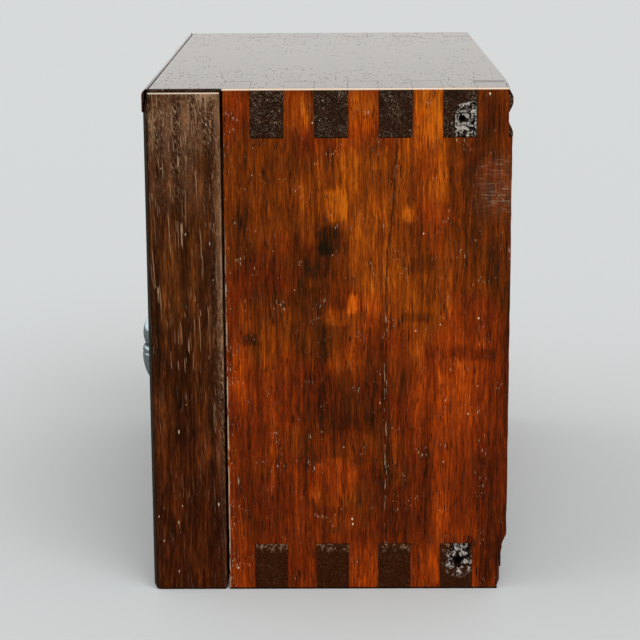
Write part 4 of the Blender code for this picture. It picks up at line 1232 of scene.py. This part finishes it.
def dome(square):
    """Height of a round back: sqrt(1 - d^2) where d^2 is given, and 0 beyond d = 1."""
    return np.sqrt(np.maximum(1 - square, 0))


def capsule(x, z, start, stop, half):
    """Height of a rounded stroke from start to stop: sqrt(1 - (d / half)^2), d the distance to its line."""
    start, run = np.asarray(start), np.asarray(stop) - np.asarray(start)
    t = np.clip(((x - start[0]) * run[0] + (z - start[1]) * run[1]) / (run @ run), 0, 1)
    away = np.hypot(x - start[0] - t * run[0], z - start[1] - t * run[1])
    return dome((away / half) ** 2)


def scroll(x, z, centre, radius, turns, start, direction, half):
    """Height of a rolled stem: a spiral whose radius falls evenly to a bud, with a round back."""
    t = np.linspace(0, 1, int(60 * turns) + 20)
    reach = radius * (1 - 0.78 * t)
    angle = np.radians(start) + direction * 2 * np.pi * turns * t
    line_x, line_z = centre[0] + reach * np.cos(angle), centre[1] + reach * np.sin(angle)
    height = np.zeros(x.shape)
    for px, pz, w in zip(line_x, line_z, half * (0.75 + 0.45 * t)):
        height = np.maximum(height, dome(((x - px) ** 2 + (z - pz) ** 2) / w ** 2))
    bud = ((x - line_x[-1]) ** 2 + (z - line_z[-1]) ** 2) / (1.7 * half) ** 2
    return np.maximum(height, 1.15 * dome(bud))


def leaf(x, z, root, tip, half, bend=0.0):
    """Height of a leaf: half-width half * sin(pi s^0.8) along it, a round back and a groove down it."""
    root, run = np.asarray(root), np.asarray(tip) - np.asarray(root)
    length = np.hypot(*run)
    along, across = run / length, np.array([-run[1], run[0]]) / length
    s = ((x - root[0]) * along[0] + (z - root[1]) * along[1]) / length
    inside = np.clip(s, 0, 1)
    t = (x - root[0]) * across[0] + (z - root[1]) * across[1] - bend * np.sin(np.pi * inside)
    width = half * np.sin(np.pi * inside ** 0.8) + 1e-6
    body = dome((t / width) ** 2) * ((s > 0) & (s < 1))
    vein = np.exp(-(t / (0.28 * MM)) ** 2) * 0.35
    return np.maximum(body * (0.55 + 0.35 * np.sin(np.pi * inside)) - vein * (body > 0), 0)


def rosette(x, z, radius, petals):
    """Height of a flower: an outer and an inner ring of petals with cut veins, round a domed heart."""
    reach = np.hypot(x, z)
    turn = np.arctan2(z, x) * petals / (2 * np.pi)
    height = np.zeros(x.shape)
    for size, offset, lift in ((1.0, 0.0, 0.62), (0.66, 0.5, 0.9)):
        off = np.abs((turn + offset) % 1.0 - 0.5) * 2
        limit = radius * size * (0.74 + 0.26 * dome(off ** 2))
        slope = 0.55 + 0.45 * np.clip(reach / np.maximum(limit, 1e-9), 0, 1)
        vein = 0.16 * np.exp(-(off / 0.16) ** 2) * np.clip(reach / radius, 0, 1)
        petal = (lift * (0.35 + 0.65 * dome(off ** 2.4)) * slope - vein) * (reach < limit)
        height = np.maximum(height, petal)
    heart = radius * 0.24
    seeds = 0.09 * np.cos(2 * np.pi * x / (1.5 * MM)) * np.cos(2 * np.pi * z / (1.5 * MM))
    return np.maximum(height, (0.55 + 0.5 * dome((reach / heart) ** 2) + seeds) * (reach < heart))


class BOX_OT_carved_panels(bpy.types.Operator):
    """Builds the door panels: a sloped margin, a flat border, and flower and scrolls on a stippled ground."""

    bl_idname = "box.carved_panels"
    bl_label = "Carved panels"

    margin = 8.0 * MM
    slope_back = 4.8 * MM
    border_slope = 0.7 * MM
    dot_pitch = 1.2 * MM
    dot_depth = 0.14 * MM
    flat_shade = 0.7

    def ornament(self, x, z, half, settings):
        """Carved height from 0 to about 1 in one quarter of the panel, folded over both middle lines."""
        x, z = np.abs(x), np.abs(z)
        stem = settings.stem
        top = half[1] - settings.border
        return np.maximum.reduce((
            rosette(x, z, settings.rosette, settings.petals),
            0.62 * capsule(x, z, (0, settings.rosette), (0, top - 13 * MM), stem),
            0.72 * scroll(x, z, (8.6 * MM, 21.6 * MM), 6.0 * MM, 1.25, 200.0, -1, stem),
            0.70 * scroll(x, z, (7.6 * MM, 34.6 * MM), 5.0 * MM, 1.2, 170.0, 1, stem * 0.9),
            0.90 * leaf(x, z, (1.0 * MM, top - 15 * MM), (7.5 * MM, top - 6.5 * MM), 2.2 * MM, 1.2 * MM),
            1.00 * leaf(x, z, (0, top - 15 * MM), (0, top - 2.0 * MM), 2.6 * MM),
            0.85 * leaf(x, z, (6.0 * MM, 27.6 * MM), (15.5 * MM, 30.0 * MM), 1.8 * MM, -0.8 * MM),
            0.85 * leaf(x, z, (12.5 * MM, 17.0 * MM), (15.6 * MM, 9.0 * MM), 1.7 * MM, 0.6 * MM),
            0.80 * leaf(x, z, (8.5 * MM, 39.5 * MM), (15.2 * MM, 44.0 * MM), 1.8 * MM, 0.8 * MM),
        ))

    def execute(self, context):
        settings = context.scene.box_carving
        for word in SIDES.values():
            node = f"{word}_carved_panel"
            low, high = opening_of(word)
            middle, half = (low + high) / 2, (high - low) / 2
            field = half - self.margin

            def within(px, pz):
                return np.minimum(field[0] - np.abs(px), field[1] - np.abs(pz)) - settings.border

            def relief(z, x):
                px, pz = x - middle[0], z - middle[1]
                edge = np.minimum(half[0] - np.abs(px), half[1] - np.abs(pz))
                slope = self.slope_back * np.clip(1 - edge / self.margin, 0, 1)
                sunk = smooth_step(within(px, pz) / self.border_slope)
                dots = self.dot_depth * np.cos(2 * np.pi * (px + pz) / self.dot_pitch) * np.cos(
                    2 * np.pi * (px - pz) / self.dot_pitch)
                carved = self.ornament(px, pz, field, settings)
                floor = settings.ground + dots * (carved < 0.05)
                return slope + sunk * (floor - settings.rise * carved)

            shell = filled(node, "ZXY", ease=(0.1 * MM, 0.1 * MM), spacing=(0.44 * MM, 0.44 * MM),
                           relief=(relief, None), rows=1)
            x, y, z = shell[0].T
            px, pz = x - middle[0], z - middle[1]
            front = (y < sum(box(node))[1] / 2) & (within(px, pz) > 0)
            # The carved height also paints a highlight on the high parts and shade in the ground
            carved = np.where(front, self.ornament(px, pz, field, settings), self.flat_shade)
            make_piece(node, shell, "orange_carved", {"carved": carved}, sharp=60.0)
        return {"FINISHED"}


# Metal fittings

class BOX_OT_pivot_pins(bpy.types.Operator):
    """Builds the pins that the doors turn on, chamfered at both ends."""

    bl_idname = "box.pivot_pins"
    bl_label = "Pivot pins"

    def execute(self, context):
        for word in SIDES.values():
            for level in ("upper", "lower"):
                node = f"{word}_{level}_pivot_pin"
                low, high = box(node)
                radius, length = (high[0] - low[0]) / 2, high[2] - low[2]
                cut = radius * 0.3
                profile = [(0, radius - cut), (cut, radius), (length - cut, radius), (length, radius - cut)]
                centre = (*(low + high)[:2] / 2, low[2])
                make_piece(node, turned(profile, 24, centre, (0, 0, 1)), "polished_metal")
        return {"FINISHED"}


class BOX_OT_lock_plates(bpy.types.Operator):
    """Builds the half-round plates with a rolled rim and a turned line, and their domed tacks."""

    bl_idname = "box.lock_plates"
    bl_label = "Lock plates and tacks"

    hub = 0.02 * MM
    # Turned lines of a plate: reach as a share of its radius, and width
    lines = ((0.62, 0.35 * MM), (0.90, 0.3 * MM))
    tack_rise = 0.8 * MM
    tack_shank = 0.6 * MM

    def plate(self, node, side):
        """A thin section (reach, height) carried through half a turn about the plate's middle."""
        low, high = box(node)
        radius, thick = (high[2] - low[2]) / 2, high[1] - low[1]
        edge = low[0] if side > 0 else high[0]
        reach = np.concatenate([[self.hub], np.linspace(1 * MM, radius - 0.6 * MM, 60)])
        cut = sum(0.3 * thick * np.exp(-((reach - at * radius) / wide) ** 2) for at, wide in self.lines)
        front = np.stack([reach, high[1] - thick + cut], axis=1)
        rim = arc_points((radius - thick / 2, high[1] - thick / 2), thick / 2, -90, 90)
        back = [(radius - thick, high[1]), (self.hub, high[1])]
        section = np.concatenate([front, rim, back])
        turn = np.radians(np.linspace(-90, 90, 65))
        points = np.empty((len(turn), len(section), 3))
        points[..., 0] = edge + side * section[None, :, 0] * np.cos(turn)[:, None]
        points[..., 1] = section[None, :, 1]
        points[..., 2] = (low[2] + high[2]) / 2 + section[None, :, 0] * np.sin(turn)[:, None]
        return tube(points)

    def tack(self, node):
        """A tack with a domed head, turned about Y."""
        low, high = box(node)
        middle, rise = (low + high) / 2, self.tack_rise
        t = np.linspace(np.pi / 2 - 0.02, 0, 12)
        head = np.stack([rise - rise * np.sin(t), (high[0] - low[0]) / 2 * np.cos(t)], axis=1)
        profile = np.concatenate([head, [(rise, self.tack_shank), (high[1] - low[1], self.tack_shank)]])
        return turned(profile, 32, (middle[0], low[1], middle[2]), (0, 1, 0))

    def execute(self, context):
        for side, word in SIDES.items():
            make_piece(f"{word}_lock_plate", self.plate(f"{word}_lock_plate", side), "polished_metal")
            for index in (1, 2, 3):
                node = f"{word}_plate_tack_{index}"
                make_piece(node, self.tack(node), "polished_metal")
        return {"FINISHED"}


class BOX_OT_eye_pins(bpy.types.Operator):
    """Builds the eyes: a wire ring on a stem with a turned collar, clenched behind the door."""

    bl_idname = "box.eye_pins"
    bl_label = "Eye pins"

    wire = 0.9 * MM
    stem = 1.3 * MM
    collar = 2.6 * MM
    clench = 1.2 * MM

    def execute(self, context):
        for word in SIDES.values():
            node = f"{word}_eye_pin"
            low, high = box(node)
            ring_r = (high[2] - low[2]) / 2 - self.wire
            centre = (low + high) / 2
            centre[1] = low[1] + ring_r + self.wire
            start = centre[1] + ring_r
            seat = box(f"{word}_lock_plate")[0][1] - start - GAP
            head = (high[0] - low[0]) / 2
            length = high[1] - start
            profile = [(-0.5 * MM, 0.5 * MM), (0.0, self.stem), (seat - 1.0 * MM, self.stem),
                       (seat - 0.8 * MM, 2.1 * MM), (seat - 0.3 * MM, self.collar), (seat, self.collar),
                       (seat, self.stem), (length - self.clench, self.stem), (length - self.clench, head),
                       (length - 0.3 * MM, head), (length, head - 0.4 * MM)]
            ring = wire_ring(centre, ring_r, self.wire, (1, 0, 0))
            stem = turned(profile, 32, (centre[0], start, centre[2]), (0, 1, 0))
            make_piece(node, join(ring, stem), "polished_metal")
        return {"FINISHED"}


class BOX_OT_drop_pulls(bpy.types.Operator):
    """Builds the hanging drops: a link, two lobes with turned lines and a small tip."""

    bl_idname = "box.drop_pulls"
    bl_label = "Drop pulls"

    link_r = 2.6 * MM
    link_wire = 0.8 * MM
    neck = 1.7 * MM
    # Height, upper neck, widest radius, lower neck and skew of each lobe
    lobes = ((14.4 * MM, 1.7 * MM, 6.3 * MM, 4.9 * MM, 1.7), (16.6 * MM, 4.9 * MM, 6.7 * MM, 1.4 * MM, 0.5))
    tip = 1.4 * MM
    # Half the height of the painted shade at the waist, and the height of the painted shade at the foot and
    # of its edge, both also rough
    waist_half = 0.7 * MM
    foot_shade = 5 * MM
    foot_fade = 3 * MM

    def profile(self):
        """Radius down the drop: each lobe adds (widest - neck) * sin(pi t^skew)^0.5 to the line between
        its necks, less a fine line cut round its upper shoulder."""
        parts, place = [np.array([[0.0, 0.3 * MM], [0.0, self.neck]])], 0.0
        for height, upper, widest, lower, skew in self.lobes:
            t = np.linspace(0, 1, 40)[1:]
            neck = upper + (lower - upper) * t
            radius = neck + (widest - neck) * np.maximum(np.sin(np.pi * t ** skew), 0) ** 0.5
            radius -= 0.22 * MM * np.exp(-((t - 0.2) / 0.03) ** 2)
            parts.append(np.stack([place + height * t, radius], axis=1))
            place += height
        parts.append(np.array([[place + 1.0 * MM, self.tip], [place + 2.4 * MM, 1.25 * self.tip],
                               [place + 3.0 * MM, 0.6 * self.tip]]))
        return np.concatenate(parts)

    def execute(self, context):
        for word in SIDES.values():
            node = f"{word}_drop_pull"
            low, high = box(node)
            axis = (low + high) / 2
            axis[2] = high[2] - self.link_wire
            link = wire_ring(axis - (0, 0, self.link_r), self.link_r, self.link_wire, (0, 1, 0))
            drop = turned(self.profile(), 56, axis - (0, 0, 2 * self.link_r), (0, 0, -1))
            shell = join(link, drop)
            z = shell[0][:, 2]
            # Painted shade in the waist groove and towards the foot
            waist = axis[2] - 2 * self.link_r - self.lobes[0][0]
            painted_shade = np.exp(-((z - waist) / self.waist_half) ** 2)
            foot = smooth_step((low[2] + self.foot_shade - z) / self.foot_fade)
            make_piece(node, shell, "polished_metal", {"painted_shade": np.maximum(painted_shade, 0.8 * foot)})
        return {"FINISHED"}


# Stage

def add_camera(stage):
    """The camera, turned by pitch, yaw and roll from looking along -X."""
    sight = Vector((-np.cos(stage.pitch) * np.cos(stage.yaw), np.cos(stage.pitch) * np.sin(stage.yaw),
                    -np.sin(stage.pitch)))
    across = Vector((np.sin(stage.yaw), np.cos(stage.yaw), 0.0))
    upward = across.cross(sight)
    right = across * np.cos(stage.roll) + upward * np.sin(stage.roll)
    up = upward * np.cos(stage.roll) - across * np.sin(stage.roll)
    lens = bpy.data.cameras.new("camera")
    lens.lens = stage.lens
    lens.shift_y = stage.rise
    camera = bpy.data.objects.new("camera", lens)
    turn = Matrix((right, up, -sight)).transposed().to_4x4()
    camera.matrix_world = Matrix.Translation(stage.camera) @ turn
    bpy.context.scene.collection.objects.link(camera)
    bpy.context.scene.camera = camera


def wide_light(name, place, strength, spread, mirrored_in_gloss):
    """A light from far away, in the direction of a place, with wide soft shadows."""
    lamp = bpy.data.lights.new(name, "SUN")
    lamp.energy = strength
    lamp.angle = np.radians(spread)
    holder = bpy.data.objects.new(name, lamp)
    holder.location = place
    holder.rotation_euler = Vector(place).to_track_quat("Z", "Y").to_euler()
    holder.visible_glossy = mirrored_in_gloss
    bpy.context.scene.collection.objects.link(holder)


def pale_surround(strength, gloss):
    """A world that is pale to the eye and in reflections, and gives soft light of the set strength."""
    world = bpy.data.worlds.new("surround")
    world.use_nodes = True
    tree = world.node_tree
    path = tree.nodes.new("ShaderNodeLightPath")
    seen = tree.nodes.new("ShaderNodeMath")
    seen.operation = "MAXIMUM"
    tree.links.new(path.outputs["Is Camera Ray"], seen.inputs[0])
    tree.links.new(path.outputs["Is Glossy Ray"], seen.inputs[1])
    level = tree.nodes.new("ShaderNodeMapRange")
    level.inputs["To Min"].default_value = strength
    level.inputs["To Max"].default_value = gloss
    tree.links.new(seen.outputs["Value"], level.inputs["Value"])
    background = tree.nodes["Background"]
    background.inputs["Color"].default_value = (1.0, 0.985, 0.955, 1.0)
    tree.links.new(level.outputs["Result"], background.inputs["Strength"])
    bpy.context.scene.world = world


class BOX_OT_stage(bpy.types.Operator):
    """Adds the plain floor, the soft lights, the pale surround and the camera."""

    bl_idname = "box.stage"
    bl_label = "Stage"

    floor_half = 6.0
    floor_lines = 9

    def execute(self, context):
        stage = context.scene.box_stage
        line = np.linspace(-1, 1, self.floor_lines)
        u, v = np.meshgrid(line, line, indexing="ij")
        points = np.stack([u.ravel(), v.ravel(), np.zeros(u.size)], axis=1) * self.floor_half
        grid = np.arange(u.size).reshape(u.shape)
        quads = np.stack([grid[:-1, :-1], grid[1:, :-1], grid[1:, 1:], grid[:-1, 1:]], axis=-1).reshape(-1, 4)
        mesh = bpy.data.meshes.new("floor")
        mesh.from_pydata(points.tolist(), [], quads.tolist())
        plain = Finish("plain_floor")
        pale = context.scene.box_colours.floor
        mirrored = plain.node("LightPath", {}, "Is Glossy Ray")
        colour = plain.mix(mirrored, pale, tinted(pale, 0.25, 0.24, 0.22))
        mesh.materials.append(plain.done(Base_Color=colour, Roughness=0.8, Specular_IOR_Level=0.1))
        floor = bpy.data.objects.new("floor", mesh)
        context.scene.collection.objects.link(floor)
        wide_light("key", (0.6, 0.2, 0.8), stage.key, spread=50.0, mirrored_in_gloss=True)
        wide_light("fill", (0.1, -0.8, 0.6), stage.fill, spread=70.0, mirrored_in_gloss=False)
        pale_surround(stage.sky, stage.gloss)
        add_camera(stage)
        context.scene.view_settings.view_transform = "Standard"
        return {"FINISHED"}


# Add-on

OPERATORS = (BOX_OT_top_board, BOX_OT_bottom_board, BOX_OT_side_boards, BOX_OT_front_posts, BOX_OT_inside,
             BOX_OT_groove_plugs, BOX_OT_door_frames, BOX_OT_carved_panels, BOX_OT_pivot_pins,
             BOX_OT_lock_plates, BOX_OT_eye_pins, BOX_OT_drop_pulls, BOX_OT_stage)
SETTINGS = {"box_edges": BoxEdgeSettings, "box_carving": BoxCarvingSettings, "box_colours": BoxColourSettings,
            "box_stage": BoxStageSettings}


class BOX_PT_sidebar(bpy.types.Panel):
    """Lists the settings and one button for each piece."""

    bl_idname = "BOX_PT_sidebar"
    bl_label = "Carved cabinet box"
    bl_space_type = "VIEW_3D"
    bl_region_type = "UI"
    bl_category = "Box"

    def draw(self, context):
        for name in SETTINGS:
            settings = getattr(context.scene, name)
            column = self.layout.column(align=True)
            for field in settings.bl_rna.properties:
                if field.identifier not in ("rna_type", "name"):
                    column.prop(settings, field.identifier)
        for operator in OPERATORS:
            self.layout.operator(operator.bl_idname)


def register():
    """Adds the settings, operators and panel."""
    for item in (*SETTINGS.values(), *OPERATORS, BOX_PT_sidebar):
        bpy.utils.register_class(item)
    for name, group in SETTINGS.items():
        setattr(bpy.types.Scene, name, PointerProperty(type=group))


def unregister():
    """Removes what register added."""
    for name in SETTINGS:
        delattr(bpy.types.Scene, name)
    for item in reversed((*SETTINGS.values(), *OPERATORS, BOX_PT_sidebar)):
        bpy.utils.unregister_class(item)


def main():
    """Builds every piece in order."""
    register()
    for operator in OPERATORS:
        group, name = operator.bl_idname.split(".")
        getattr(getattr(bpy.ops, group), name)()


if __name__ == "__main__":
    main()
